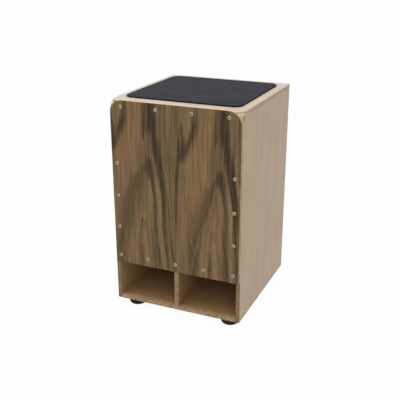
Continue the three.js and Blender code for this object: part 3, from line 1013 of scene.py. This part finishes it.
def veneer_leaf_group():
    """Millimetres across the leaf and up it, frayed by noise, and the plain ones. On the
    second leaf, what lies left of the arch's axis is squeezed towards it."""
    group, given, result = new_group(
        "veneer leaf",
        {"Position": None, "Fray": 50.0, "Sway": 7.0},
        ("Across", "Unsqueezed", "Squeeze", "Up", "Frayed Up", "Grain"),
    )
    axes = split(given["Position"])
    leaves = (axes[0] / MM - SEAM_X) / LEAF_WIDTH
    leaf = calculate("FLOOR", leaves)
    across = (leaves - leaf) * LEAF_WIDTH
    up = (axes[2] - tapa_low.z) / MM
    second = leaf + 1.0
    dropped = up + second * SECOND_LEAF_DROP
    grain = joined(across, up, second * LEAF_DEPTH)

    def wave(wide, tall, detail):
        """Noise along the fibres about zero: the noise less its mean of a half."""
        return along_fibres(grain, wide, tall, detail, 0.6) - 0.5

    flames = wave(3.2, 140.0, 3.0) + wave(14.0, 90.0, 1.0) * 0.8
    swayed = across + wave(60.0, 70.0, 1.0) * given["Sway"]
    below_crown = smooth_step(dropped, 262.0, 228.0, 0.0, SECOND_LEAF_SQUEEZE)
    above_foot = smooth_step(dropped, 98.0, 205.0, 0.27, 1.0)
    squeeze = second * (below_crown * above_foot)
    feed(
        result,
        Across=swayed - larger(ARCH_AXIS - swayed, 0.0) * squeeze,
        Unsqueezed=swayed,
        Squeeze=squeeze,
        Up=dropped,
        Frayed_Up=dropped + flames * given["Fray"],
        Grain=grain,
    )
    return group


VENEER_LEAF = veneer_leaf_group()
print("veneer leaf:", len(VENEER_LEAF.nodes), "nodes")

# %% Streaks of the figure
#
# A streak is a few stations down its length: height above the tapa's lower edge, place
# across the leaf, half width, all in millimetres, and darkness of 0 to 1. The unsqueezed
# ones lie as far apart on the second leaf as on the first. Shadows are soft and stay free
# of fibres. A growth line has heights and places only.
DARK_STREAKS = {
    "top block": [(373, 103, 14, 0.7), (336, 103, 14, 0.75), (314, 102, 12, 0.6), (296, 100, 9, 0)],
    "top block edge": [
        (373, 92, 3, 0.4), (340, 91.5, 3, 0.6), (315, 91.5, 4, 0.8), (300, 91, 3, 0.5), (288, 91, 2, 0),
    ],
    "long streak": [
        (373, 109, 6, 0.7), (340, 112, 8, 0.9), (322, 113, 8.5, 1), (298, 117, 8.5, 1), (282, 119, 8.5, 1),
        (262, 121.5, 8, 1), (242, 124.5, 7.5, 1), (222, 127.5, 7, 1), (197, 131, 6, 0.95),
        (172, 133.5, 5.5, 0.9), (147, 134.5, 5.5, 0.9), (122, 135, 5.5, 0.9), (52, 138, 5, 0.8),
        (22, 140.5, 4.5, 0.75), (0, 143, 4.5, 0.6),
    ],
    "arch crown": [
        (262, 98, 4, 0), (248, 99, 6, 0.7), (236, 99, 8, 0.65), (222, 98, 8, 0.3), (204, 95, 6, 0),
    ],
    "arch right leg": [
        (256, 101, 4, 0.3), (238, 103, 5.5, 0.9), (216, 107, 5, 0.95), (192, 110, 4, 0.9),
        (147, 114.5, 4, 0.85), (106, 115.5, 4.5, 0.85), (66, 116.5, 5, 0.7), (36, 120.5, 5, 0.65),
        (0, 126, 5, 0.5),
    ],
    "arch left leg": [
        (244, 91, 5, 0.1), (224, 82, 7, 0.4), (206, 73, 10, 0.35), (190, 67, 13, 0.3), (172, 60, 15, 0.25),
        (146, 53, 16, 0.2), (121, 45, 14, 0.2), (96, 38, 13, 0.3), (72, 32, 12, 0.5), (48, 29, 11, 0.65),
        (0, 24, 10, 0.6),
    ],
    "inner left leg": [
        (118, 83, 3, 0), (104, 81, 6, 0.45), (86, 78, 5, 0.45), (56, 77, 5, 0.45), (32, 77, 5.5, 0.6),
        (0, 75, 6, 0.6),
    ],
    "inner right leg": [
        (118, 84, 3, 0), (104, 87, 6, 0.4), (86, 93, 5, 0.4), (56, 99, 5, 0.4), (0, 108, 6, 0.5),
    ],
    "seam line": [
        (373, 139, 2.5, 0.3), (306, 142, 2.5, 0.5), (236, 147, 2.5, 0.5), (176, 151, 2.5, 0.4),
        (0, 153, 3, 0.3),
    ],
}
UNSQUEEZED_STREAKS = {
    "corner flame": [
        (373, 47, 5, 0.7), (346, 45, 5.5, 0.85), (321, 41, 6.5, 1), (305, 36, 7.5, 1), (292, 30, 7.5, 0.9),
        (277, 24, 6, 0.6), (262, 18, 5, 0.3), (245, 12, 4, 0),
    ],
    "corner branch": [
        (352, 14, 4, 0), (332, 16, 5, 0.7), (312, 18, 6.5, 1), (297, 17.5, 8.5, 1), (277, 13.5, 6.5, 1),
        (262, 9, 5.5, 0.95), (246, 6, 4, 0.4), (232, 5, 3, 0),
    ],
    "tail beside the seam": [
        (373, 4, 3, 0.4), (330, 4, 3, 0.55), (290, 4, 3, 0.5), (252, 5, 3.5, 0.6), (238, 5, 4, 0.85),
        (212, 4, 3.5, 0.85), (172, 2.5, 3, 0.65), (120, 1, 2.5, 0.4), (0, 0.5, 2, 0.2),
    ],
}
SHADOWS = {
    "arch left leg": [
        (244, 91, 6, 0.2), (224, 82, 9, 0.7), (206, 73, 12, 0.8), (190, 67, 14, 0.8), (172, 60, 16, 0.8),
        (146, 53, 17, 0.7), (121, 45, 16, 0.7), (96, 38, 14, 0.7), (72, 32, 13, 0.6), (48, 29, 12, 0.5),
        (0, 24, 11, 0.4),
    ],
}
UNSQUEEZED_SHADOWS = {
    "arch left leg": [
        (222, 84, 6, 0), (204, 77, 12, 0.6), (186, 69, 15, 0.7), (160, 58, 17, 0.65), (130, 52, 18, 0.65),
        (106, 46, 17, 0.55), (84, 43, 14, 0.2), (66, 40, 12, 0),
    ],
}
LIGHT_STREAKS = {
    "between the legs": [
        (262, 106, 3, 0), (236, 113, 3.5, 0.4), (206, 119, 4, 0.5), (166, 123.5, 4.5, 0.55),
        (126, 126, 4.5, 0.55), (66, 128, 4, 0.5), (0, 134, 4, 0.4),
    ],
    "beside the seam": [(373, 150, 4, 0.5), (300, 153, 4, 0.4), (240, 156, 3, 0.2), (150, 158, 3, 0)],
}
LINED_FIELDS = {
    "beside the seam": [
        (373, 133, 26, 1), (300, 136, 24, 1), (200, 146, 18, 1), (100, 150, 14, 0.9), (0, 152, 12, 0.8),
    ],
    "top block": [(373, 98, 20, 0.9), (330, 98, 18, 0.8), (296, 98, 14, 0.2), (280, 98, 10, 0)],
    "foot of the arch": [(130, 110, 26, 0), (90, 100, 40, 0.5), (0, 95, 60, 0.8)],
}
WARM_FIELDS = {
    "inside the arch": [
        (240, 96, 4, 0), (206, 93, 16, 0.8), (150, 86, 30, 0.9), (100, 80, 38, 0.8), (0, 75, 50, 0.7),
    ],
    "left of the arch": [
        (373, 68, 24, 0.9), (320, 62, 28, 0.9), (270, 48, 36, 0.9), (200, 10, 58, 0.9),
        (110, -8, 50, 0.85), (0, -14, 36, 0.7),
    ],
}
LEFT_GROWTH_LINE = [
    (373, 84), (300, 88), (262, 91), (231, 86), (206, 77), (186, 69), (146, 53), (96, 38), (0, 20),
]
RIGHT_GROWTH_LINE = [
    (373, 106), (300, 103), (262, 101), (236, 103), (216, 107), (186, 111), (106, 117), (0, 129),
]
print("dark streaks:", len(DARK_STREAKS) + len(UNSQUEEZED_STREAKS))

# %% From stations to shares
PATH_START = -20.0
PATH_SPAN = 200.0
WIDTH_SPAN = 80.0
CURVE_RANGES = ((PATH_START, PATH_SPAN), (0.0, WIDTH_SPAN), (0.0, 1.0))
INNER_SPAN = 36.0
OUTER_SPAN = 60.0


def height_share(up):
    """The height as a share of the tapa's, on all three channels of a curves node."""
    share = clamped(up / TAPA_TALL)
    return joined(share, share, share)


def course(up_share, stations):
    """The path, half width and darkness of a streak at each height, from one curves node."""
    curves = node(up_share.tree, "RGBCurve", {"Color": up_share})
    heights, *columns = zip(*sorted(stations))
    for curve, column, (start, span) in zip(curves.mapping.curves, columns, CURVE_RANGES):
        points = [(up / TAPA_TALL, (number - start) / span) for up, number in zip(heights, column)]
        curve.points[0].location = points[0]
        curve.points[1].location = points[-1]
        for point in points[1:-1]:
            curve.points.new(*point)
    curves.mapping.extend = "HORIZONTAL"
    curves.mapping.update()
    place, half, dark = derive("SeparateColor", {0: Value(curves.outputs[0])})
    return place * PATH_SPAN + PATH_START, half * WIDTH_SPAN, dark


def streak(across, up_share, stations):
    """How much of a streak shows: its darkness times a smooth fall with the distance from
    its path, measured in half widths."""
    path, half, dark = course(up_share, stations)
    return dark * smooth_step(abs(across - path) / half, 0.0, 2.1, 1.0, 0.0)


def together(shares):
    """Several shares laid over each other: 1 less the product of what each leaves."""
    return 1.0 - math.prod(1.0 - share for share in shares)


def along_the_arch(across, left, right):
    """A place across the leaf that stays the same along a growth line. Inside the arch it is the
    share of the way between the legs, times a fixed width, and right of it the distance from
    the leg. Left of it, it is the place itself, less what the leg has moved times the square
    of the share of the way to the leg: the lines are upright at the edge and follow the leg
    beside it."""
    inner = clamped((across - left) / (right - left))
    share = clamped(across / left)
    outer = calculate("MINIMUM", across, left) - OUTER_SPAN - share * share * (left - OUTER_SPAN)
    beyond = larger(across - right, 0.0)
    return inner * INNER_SPAN + (outer + beyond)


# %% The veneer finish
WALNUT_WARM = shade(147, 113, 77)
WALNUT_OLIVE = shade(123, 100, 67)
WALNUT_SHADOW = shade(103, 82, 53)
WALNUT_DARK = shade(38, 28, 17)
WALNUT_LIGHT = shade(162, 132, 94)
WALNUT_PORE = shade(36, 27, 20)
TAPA_CORE = shade(226, 200, 162)
TAPA_PLIES = {
    "First Start": 1.2 * MM,
    "First End": 1.9 * MM,
    "Waviness": 0.2 * MM,
    "Blur": 0.1 * MM,
}
VENEER_THICKNESS = 0.45 * MM
VENEER_GLOSS = 0.2


def walnut_tapa():
    """The ground is olive wood with warm fields. Over it lie, one after the other, shadows,
    pale streaks and rings, shaded bands, dark rings, the dark figure, fine lines, pores and
    the seam between the leaves."""
    material, shader, position = new_material("walnut veneer", VENEER_GLOSS)
    axes = split(position)
    leaf = placed(VENEER_LEAF, {"Position": position})
    frayed = height_share(leaf["Frayed Up"])
    grain = leaf["Grain"]

    def laid(squeezed, unsqueezed=None):
        """All streaks of one or two tables, laid over each other."""
        shares = [streak(leaf["Across"], frayed, stations) for stations in squeezed.values()]
        for stations in (unsqueezed or {}).values():
            shares.append(streak(leaf["Unsqueezed"], frayed, stations))
        return together(shares)

    level = height_share(leaf["Up"])
    right = course(level, RIGHT_GROWTH_LINE)[0]
    to_left = ARCH_AXIS - course(level, LEFT_GROWTH_LINE)[0]
    left = ARCH_AXIS - to_left / (leaf["Squeeze"] + 1.0)
    curved = along_the_arch(leaf["Unsqueezed"], left, right)
    growth = joined(curved, *split(grain)[1:])

    lines = along_fibres(growth, 1.4, 130.0, 3.0, 0.65)
    rings = along_fibres(growth, 3.6, 220.0, 2.0, 0.65)
    bands = along_fibres(grain, 9.0, 160.0, 2.0, 0.65)
    smoke = along_fibres(grain, 5.0, 26.0, 3.0, 0.65)
    pores = smooth_step(along_fibres(grain, 0.35, 5.0, 1.0, 0.65), 0.62, 0.74)
    patches = smooth_step(along_fibres(grain, 8.0, 60.0, 2.0, 0.65), 0.30, 0.60, 0.35, 1.05)
    dark_rings = smooth_step(rings, 0.50, 0.64) * (laid(LINED_FIELDS) * 0.42 + 0.18)
    frayed_dark = laid(DARK_STREAKS, UNSQUEEZED_STREAKS) + ((lines + rings + smoke) * 0.8 - 1.2)
    from_seam = abs(axes[0] - SEAM_X * MM)
    seam_gap = smooth_step(from_seam, 0.05 * MM, 0.35 * MM, 0.6, 0.0)
    beside_seam = smooth_step(from_seam, 0.3 * MM, 2.4 * MM, 0.5, 0.0) * lines
    face = blend(clamped(laid(WARM_FIELDS) * patches), WALNUT_OLIVE, WALNUT_WARM)
    for share, tone in (
        (laid(SHADOWS, UNSQUEEZED_SHADOWS), WALNUT_SHADOW),
        (laid(LIGHT_STREAKS), WALNUT_LIGHT),
        (smooth_step(rings, 0.42, 0.28, 0.0, 0.30), WALNUT_LIGHT),
        (smooth_step(bands, 0.35, 0.75, 0.0, 0.30), WALNUT_DARK),
        (dark_rings, WALNUT_DARK),
        (smooth_step(frayed_dark, 0.05, 1.15, 0.0, 0.86), WALNUT_DARK),
        (smooth_step(lines, 0.32, 0.68, 0.0, 0.28), WALNUT_DARK),
        (pores * 0.4, WALNUT_PORE),
        (larger(seam_gap, beside_seam), WALNUT_DARK),
    ):
        face = blend(share, face, tone)

    depth = axes[1] - tapa_low.y
    layers = placed(PLY_EDGE, {"Position": position, "Depth": depth, **TAPA_PLIES})
    core = blend(layers["First"] * 0.7, TAPA_CORE, SECOND_BAND)
    below = smooth_step(depth, VENEER_THICKNESS, VENEER_THICKNESS + 0.1 * MM)
    roughness = smooth_step(bands, 0.3, 0.7, 0.40, 0.50)
    paint(shader, blend(below, face, core), roughness, lines - pores, 0.3, 0.04 * MM)
    return material


walnut = walnut_tapa()
show("playing_plate", tapa_mesh, walnut, "tapa_veneer", "tapa")
print("walnut veneer:", len(walnut.node_tree.nodes), "nodes")

# %% [markdown]
# Seat mat
#
# A thin mat of dark foam is glued on the seat. It is soft, so its top edge is rounded, it
# is a little thicker in the middle than at its rim, and its face is never quite even. Its
# rings start as the true outline and, past the rounded edge, shrink towards the middle.

# %% The mat
MAT_RADIUS = 20 * MM
MAT_EDGE = 1.5 * MM
MAT_CROWN = 0.5 * MM
MAT_WAVE = 0.08 * MM
MAT_FOOT_INSET = 0.4 * MM
mat_low, mat_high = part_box("seat_pad")
mat_middle = (mat_low + mat_high) / 2
mat_size = mat_high - mat_low


def spread_evenly(ring, count):
    """A closed ring of points spread evenly along its length."""
    closed = np.concatenate([ring, ring[:1]])
    run = np.concatenate([[0], np.cumsum(np.linalg.norm(np.diff(closed, axis=0), axis=1))])
    places = np.linspace(0, run[-1], count, endpoint=False)
    return np.stack([np.interp(places, run, closed[:, axis]) for axis in (0, 1)], axis=1)


def mat_outline(inset):
    """The mat's outline, shrunk by the inset, about the mat's own middle."""
    half_x = mat_size.x / 2 - inset
    half_y = mat_size.y / 2 - inset
    ring = rounded_outline(half_x, -half_y, half_y, MAT_RADIUS - inset, MAT_RADIUS - inset, 40)
    return spread_evenly(ring, 320)


def mat_height(x, y):
    """The top of the mat: its thickness, less the crown times the square of the distance from
    the middle, plus three slow waves."""
    across = 2 * x / mat_size.x
    along = 2 * y / mat_size.y
    crown = MAT_CROWN * np.clip((across**2 + along**2) / 2, 0, 1)
    waves = np.sin(31 * x + 0.4) * np.sin(27 * y + 1.1) + np.sin(63 * x - 49 * y) / 2
    return mat_size.z - MAT_WAVE - crown + MAT_WAVE * waves / 2


def mat_rings():
    """Up the side, over the rounded edge, and in to the middle."""
    foot = mat_outline(MAT_FOOT_INSET)
    edge = mat_outline(MAT_EDGE + 0.3 * MM)
    drops = quarter_depths(MAT_EDGE, ROUND_STEPS)[::-1]
    over = [(mat_outline(round_inset(MAT_EDGE, drop)), drop) for drop in drops]
    over += [(edge * share, 0) for share in np.linspace(1, 0.02, 40)]
    rings = [np.column_stack([foot, np.zeros(len(foot))])]
    rings += [np.column_stack([ring, mat_height(*ring.T) - drop]) for ring, drop in over]
    return np.stack(rings) + np.array([mat_middle.x, mat_middle.y, mat_low.z])


mat_mesh = closed_mesh("seat_mat", *capped(mat_rings()), crease=60)

# %% The mat's foam
FOAM = shade(50, 52, 57)
FOAM_PALE = shade(70, 72, 77)
# Near black, for the foam's small dark cells and for the painted shade on the mat's side.
FOAM_CELLS_AND_SIDE_SHADE = shade(20, 17, 15)
FOAM_GLOSS = 0.05
CELLS_PER_METRE = 1300.0


def foam():
    """Mottled grey, worn paler in wide patches, with small dark cells and painted shade on its side."""
    material, shader, position = new_material("dark foam", FOAM_GLOSS)
    cell_inputs = {"Vector": position, "Scale": CELLS_PER_METRE}
    cells = derive("TexVoronoi", cell_inputs, feature="F1")[0]
    mottle = noise(position, 140.0, 4.0, 0.65)
    worn = noise(position, (18.0, 24.0, 20.0), 2.0, 0.5)
    colour = blend(smooth_step(mottle + worn * 0.5, 0.6, 1.0, 0.0, 0.6), FOAM, FOAM_PALE)
    colour = blend(smooth_step(cells, 0.1, 0.7, 0.35, 0.0), colour, FOAM_CELLS_AND_SIDE_SHADE)
    # Painted shade: the mat's side, below its top, is painted near black.
    below = mat_high.z - MAT_CROWN - split(position)[2]
    colour = blend(smooth_step(below, 0.5 * MM, 1.2 * MM), colour, FOAM_CELLS_AND_SIDE_SHADE)
    roughness = smooth_step(mottle, 0.3, 0.7, 0.78, 0.92)
    paint(shader, colour, roughness, cells + mottle, 0.5, 0.15 * MM)
    shader.inputs["Sheen Weight"].default_value = 0.02
    shader.inputs["Sheen Roughness"].default_value = 0.5
    return material


mat = show("seat_mat", mat_mesh, foam(), "pad_foam", "seat_pad")
print("mat in mm:", [round(v / MM, 1) for v in mat_size])

# %% [markdown]
# Screws
#
# Fifteen pan head screws hold the tapa, and one holds each foot. A turned part is a profile
# of radius and height carried round an axis. The cross recess is pressed into the head: the
# surface sinks where it lies within the cross, with slopes as a driver's wings have.

# %% Turned parts
HEAD_STEPS = 25
TURN_STEPS = 72
RIM_EDGE = 0.1 * MM
TIP_LENGTH = 3 * MM
TAPA_RECESS = {"length": 5.0 * MM, "width": 1.5 * MM, "depth": 1.6 * MM}
FOOT_RECESS = {"length": 5.4 * MM, "width": 1.6 * MM, "depth": 1.6 * MM}


def turned(radius, height, steps=TURN_STEPS):
    """A profile carried round: x = radius cosine, y = radius sine, z = height."""
    angle = np.linspace(0, 2 * math.pi, steps + 1)[None, :]
    radius = radius[:, None]
    return points_at(radius * np.cos(angle), radius * np.sin(angle), height[:, None])


def cross_recess(x, y, length, width, depth):
    """How deep the cross recess is: its depth, times a fall from the middle of the nearer
    wing to its edge, times a fall towards the wing's end. A round pit joins the wings."""
    near = np.minimum(np.abs(x), np.abs(y))
    far = np.maximum(np.abs(x), np.abs(y))
    wall = np.clip((width / 2 - near) / (0.25 * width) + 0.5, 0, 1)
    slope = np.clip((length / 2 - far) / (0.45 * length), 0, 1)
    pit = np.clip((0.36 * length - np.hypot(x, y)) / (0.1 * length), 0, 1)
    return depth * np.maximum(wall * np.sqrt(slope), 0.85 * pit)


def screw_grid(head, rise, shank, length, recess):
    """From the middle of the head over its dome, down its rim and along the shank."""
    out = quarter_turn(HEAD_STEPS)
    rim = 0.35 * rise
    tail_radius = np.array([head / 2, head / 2 - RIM_EDGE, shank / 2, shank / 2, 0.0])
    tail_height = np.array([RIM_EDGE, 0.0, 0.0, TIP_LENGTH - length, -length])
    radius = np.concatenate([head / 2 * np.sin(out), tail_radius])
    height = np.concatenate([rim + (rise - rim) * np.cos(out), tail_height])
    grid = turned(radius, height)
    dome = grid[: HEAD_STEPS + 1]
    dome[..., 2] -= cross_recess(dome[..., 0], dome[..., 1], **recess)
    return grid


TAPA_SCREW = screw_grid(head=8 * MM, rise=2.2 * MM, shank=3.5 * MM, length=16 * MM, recess=TAPA_RECESS)
FOOT_SCREW = screw_grid(head=9 * MM, rise=2.4 * MM, shank=4 * MM, length=16 * MM, recess=FOOT_RECESS)
print("points of a screw:", TAPA_SCREW.shape[0] * TAPA_SCREW.shape[1])

# %% The zinc finish


def zinc():
    """Hazy bright metal, darkened by painted shade where the recess is deep."""
    material, shader, position = new_material("zinc plated steel")
    haze = noise(position, 500.0, 3.0, 0.6)
    spots = noise(position, 1500.0, 2.0, 0.5)
    recess = Value(node(position.tree, "Attribute", attribute_name="recess").outputs["Fac"])
    plate = blend(smooth_step(haze, 0.3, 0.7), shade(198, 180, 156), shade(172, 152, 128))
    # Painted shade: the plate turns dark brown where the cross recess is deep, as if its walls shaded it.
    colour = blend(smooth_step(recess, 0.05, 0.6) * 0.9, plate, shade(52, 44, 36))
    shader.inputs["Metallic"].default_value = 1.0
    paint(shader, colour, smooth_step(haze, 0.3, 0.7, 0.25, 0.42), spots, 0.15, 0.03 * MM)
    return material


zinc_plate = zinc()
print("finish:", zinc_plate.name)

# %% Screws in their places
#
# A screw is made with its head up. Three rows say where its x, y and z go when it is laid.
HEAD_TO_FRONT = ((1, 0, 0), (0, 0, -1), (0, 1, 0))
HEAD_DOWN = ((1, 0, 0), (0, -1, 0), (0, 0, -1))
turns = np.random.default_rng(7)


def turning(laid, turn):
    """The matrix that turns a part about its own axis, by cosine and sine, and then lays it."""
    cosine, sine = math.cos(turn), math.sin(turn)
    return np.array(laid) @ np.array([[cosine, -sine, 0], [sine, cosine, 0], [0, 0, 1]])


def mark_recess(mesh, place, matrix, recess):
    """Stores on each point how deep in the recess it lies, as a share of 0 to 1. The points
    are first turned back to the screw's own axes."""
    points = np.empty(len(mesh.vertices) * 3)
    mesh.vertices.foreach_get("co", points)
    x, y, up = ((points.reshape(-1, 3) - place) @ matrix).T
    share = cross_recess(x, y, **recess) / recess["depth"] * (up > 0)
    layer = mesh.attributes.new("recess", "FLOAT", "POINT")
    layer.data.foreach_set("value", share.astype(np.float32))


def add_screw(name, cad_name, grid, recess, place, laid):
    """A screw in place of a packed one, turned at random about its axis."""
    matrix = turning(laid, turns.uniform(0, math.pi / 2))
    mesh = closed_mesh(cad_name, [grid @ matrix.T + place], crease=50)
    mark_recess(mesh, place, matrix, recess)
    show(name, mesh, zinc_plate, "screw_steel", cad_name)


for name in sorted(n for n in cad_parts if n.startswith("tapa_screw")):
    low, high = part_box(name)
    place = ((low.x + high.x) / 2, tapa_low.y, (low.z + high.z) / 2)
    add_screw(name.replace("tapa", "plate"), name, TAPA_SCREW, TAPA_RECESS, place, HEAD_TO_FRONT)

# %% [markdown]
# Rubber feet
#
# Each foot is moulded rubber: a flat rim under the box, a rounded flank down to a smaller
# sole, and a recess that its screw sits in. The profile runs from the bore over the recess
# and the sole, up the flank, and back over the top.

# %% Feet
FOOT_TOP = 22 * MM
FOOT_SOLE = 17 * MM
FOOT_HIGH = 20 * MM
FOOT_RIM = 3 * MM
RECESS_RADIUS = 7 * MM
RECESS_DEPTH = 11 * MM
FOOT_BORE = 2.3 * MM
MOULD_RADIUS = 0.6 * MM
FOOT_TURN_STEPS = 96
FLANK_STEPS = 24
LIP_STEPS = 5
RUBBER_GLOSS = 0.15


def foot_profile():
    """Radius and height. The flank is a quarter of an ellipse between the sole and the rim,
    and the lips of the recess and of the rim are quarter rounds."""
    flank = quarter_turn(FLANK_STEPS)
    flank_radius = FOOT_SOLE + (FOOT_TOP - FOOT_SOLE) * np.sin(flank)
    flank_height = (FOOT_HIGH - FOOT_RIM) * (1 - np.cos(flank))
    lip = quarter_turn(LIP_STEPS)
    by_sine = MOULD_RADIUS * (1 - np.sin(lip))
    by_cosine = MOULD_RADIUS * (1 - np.cos(lip))
    radius = [[FOOT_BORE, RECESS_RADIUS], (RECESS_RADIUS + by_sine)[::-1], flank_radius]
    height = [[RECESS_DEPTH, RECESS_DEPTH], by_cosine[::-1], flank_height]
    radius += [FOOT_TOP - by_cosine, [FOOT_BORE, FOOT_BORE]]
    height += [FOOT_HIGH - by_sine, [FOOT_HIGH, RECESS_DEPTH]]
    return np.concatenate(radius), np.concatenate(height)


def rubber():
    """Matt black with dust in soft patches and a fine grain."""
    material, shader, position = new_material("black rubber", RUBBER_GLOSS)
    dust = noise(position, 120.0, 3.0, 0.6)
    grains = noise(position, 1800.0, 2.0, 0.5)
    colour = blend(smooth_step(dust, 0.45, 0.8, 0.0, 0.4), shade(16, 13, 11), shade(44, 39, 35))
    paint(shader, colour, smooth_step(dust, 0.3, 0.7, 0.5, 0.68), grains, 0.3, 0.05 * MM)
    return material


black_rubber = rubber()
FOOT_GRID = turned(*foot_profile(), FOOT_TURN_STEPS)
for name in sorted(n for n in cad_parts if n.startswith("foot_") and "screw" not in n):
    low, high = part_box(name)
    place = np.array([(low.x + high.x) / 2, (low.y + high.y) / 2, low.z])
    mesh = closed_mesh(f"rubber_{name}", [FOOT_GRID + place], crease=40)
    show(f"rubber_{name}", mesh, black_rubber, "foot_rubber", name)
    screw_name = name.replace("foot_", "foot_screw_")
    screw_place = (place[0], place[1], RECESS_DEPTH)
    add_screw(f"sole_{screw_name}", screw_name, FOOT_SCREW, FOOT_RECESS, screw_place, HEAD_DOWN)

# %% [markdown]
# Inside the box
#
# The battens, the snare bar and the snares show only to someone who looks in through the
# ports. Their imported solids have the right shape, so they keep it and get a finish: bare
# pine with its dark late wood lines, and bright wire.

# %% Battens and snares
PINE_FIBRE = 2.2 * MM


def pine():
    """Pale wood, darker where the fibres are dense."""
    material, shader, position = new_material("bare pine", WOOD_GLOSS)
    along = turned_grain(split(position), "X")
    grain = placed(FINE_GRAIN, {"Along Grain": along, "Fibre Width": PINE_FIBRE})
    late = smooth_step(grain["Fibres"], 0.45, 0.65)
    colour = blend(late * 0.6, shade(214, 184, 134), shade(170, 122, 72))
    roughness = smooth_step(grain["Clouds"], 0.3, 0.7, 0.65, 0.8)
    paint(shader, colour, roughness, grain["Fibres"], 0.3, 0.1 * MM)
    return material


battens = [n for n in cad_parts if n.startswith("front_batten")]
snares = [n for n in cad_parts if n.startswith("snare_") and n != "snare_bar"]
dress(pine(), "snare_bar", *battens)
dress(zinc_plate, *snares)
print("dressed inside:", 1 + len(battens) + len(snares), "solids")
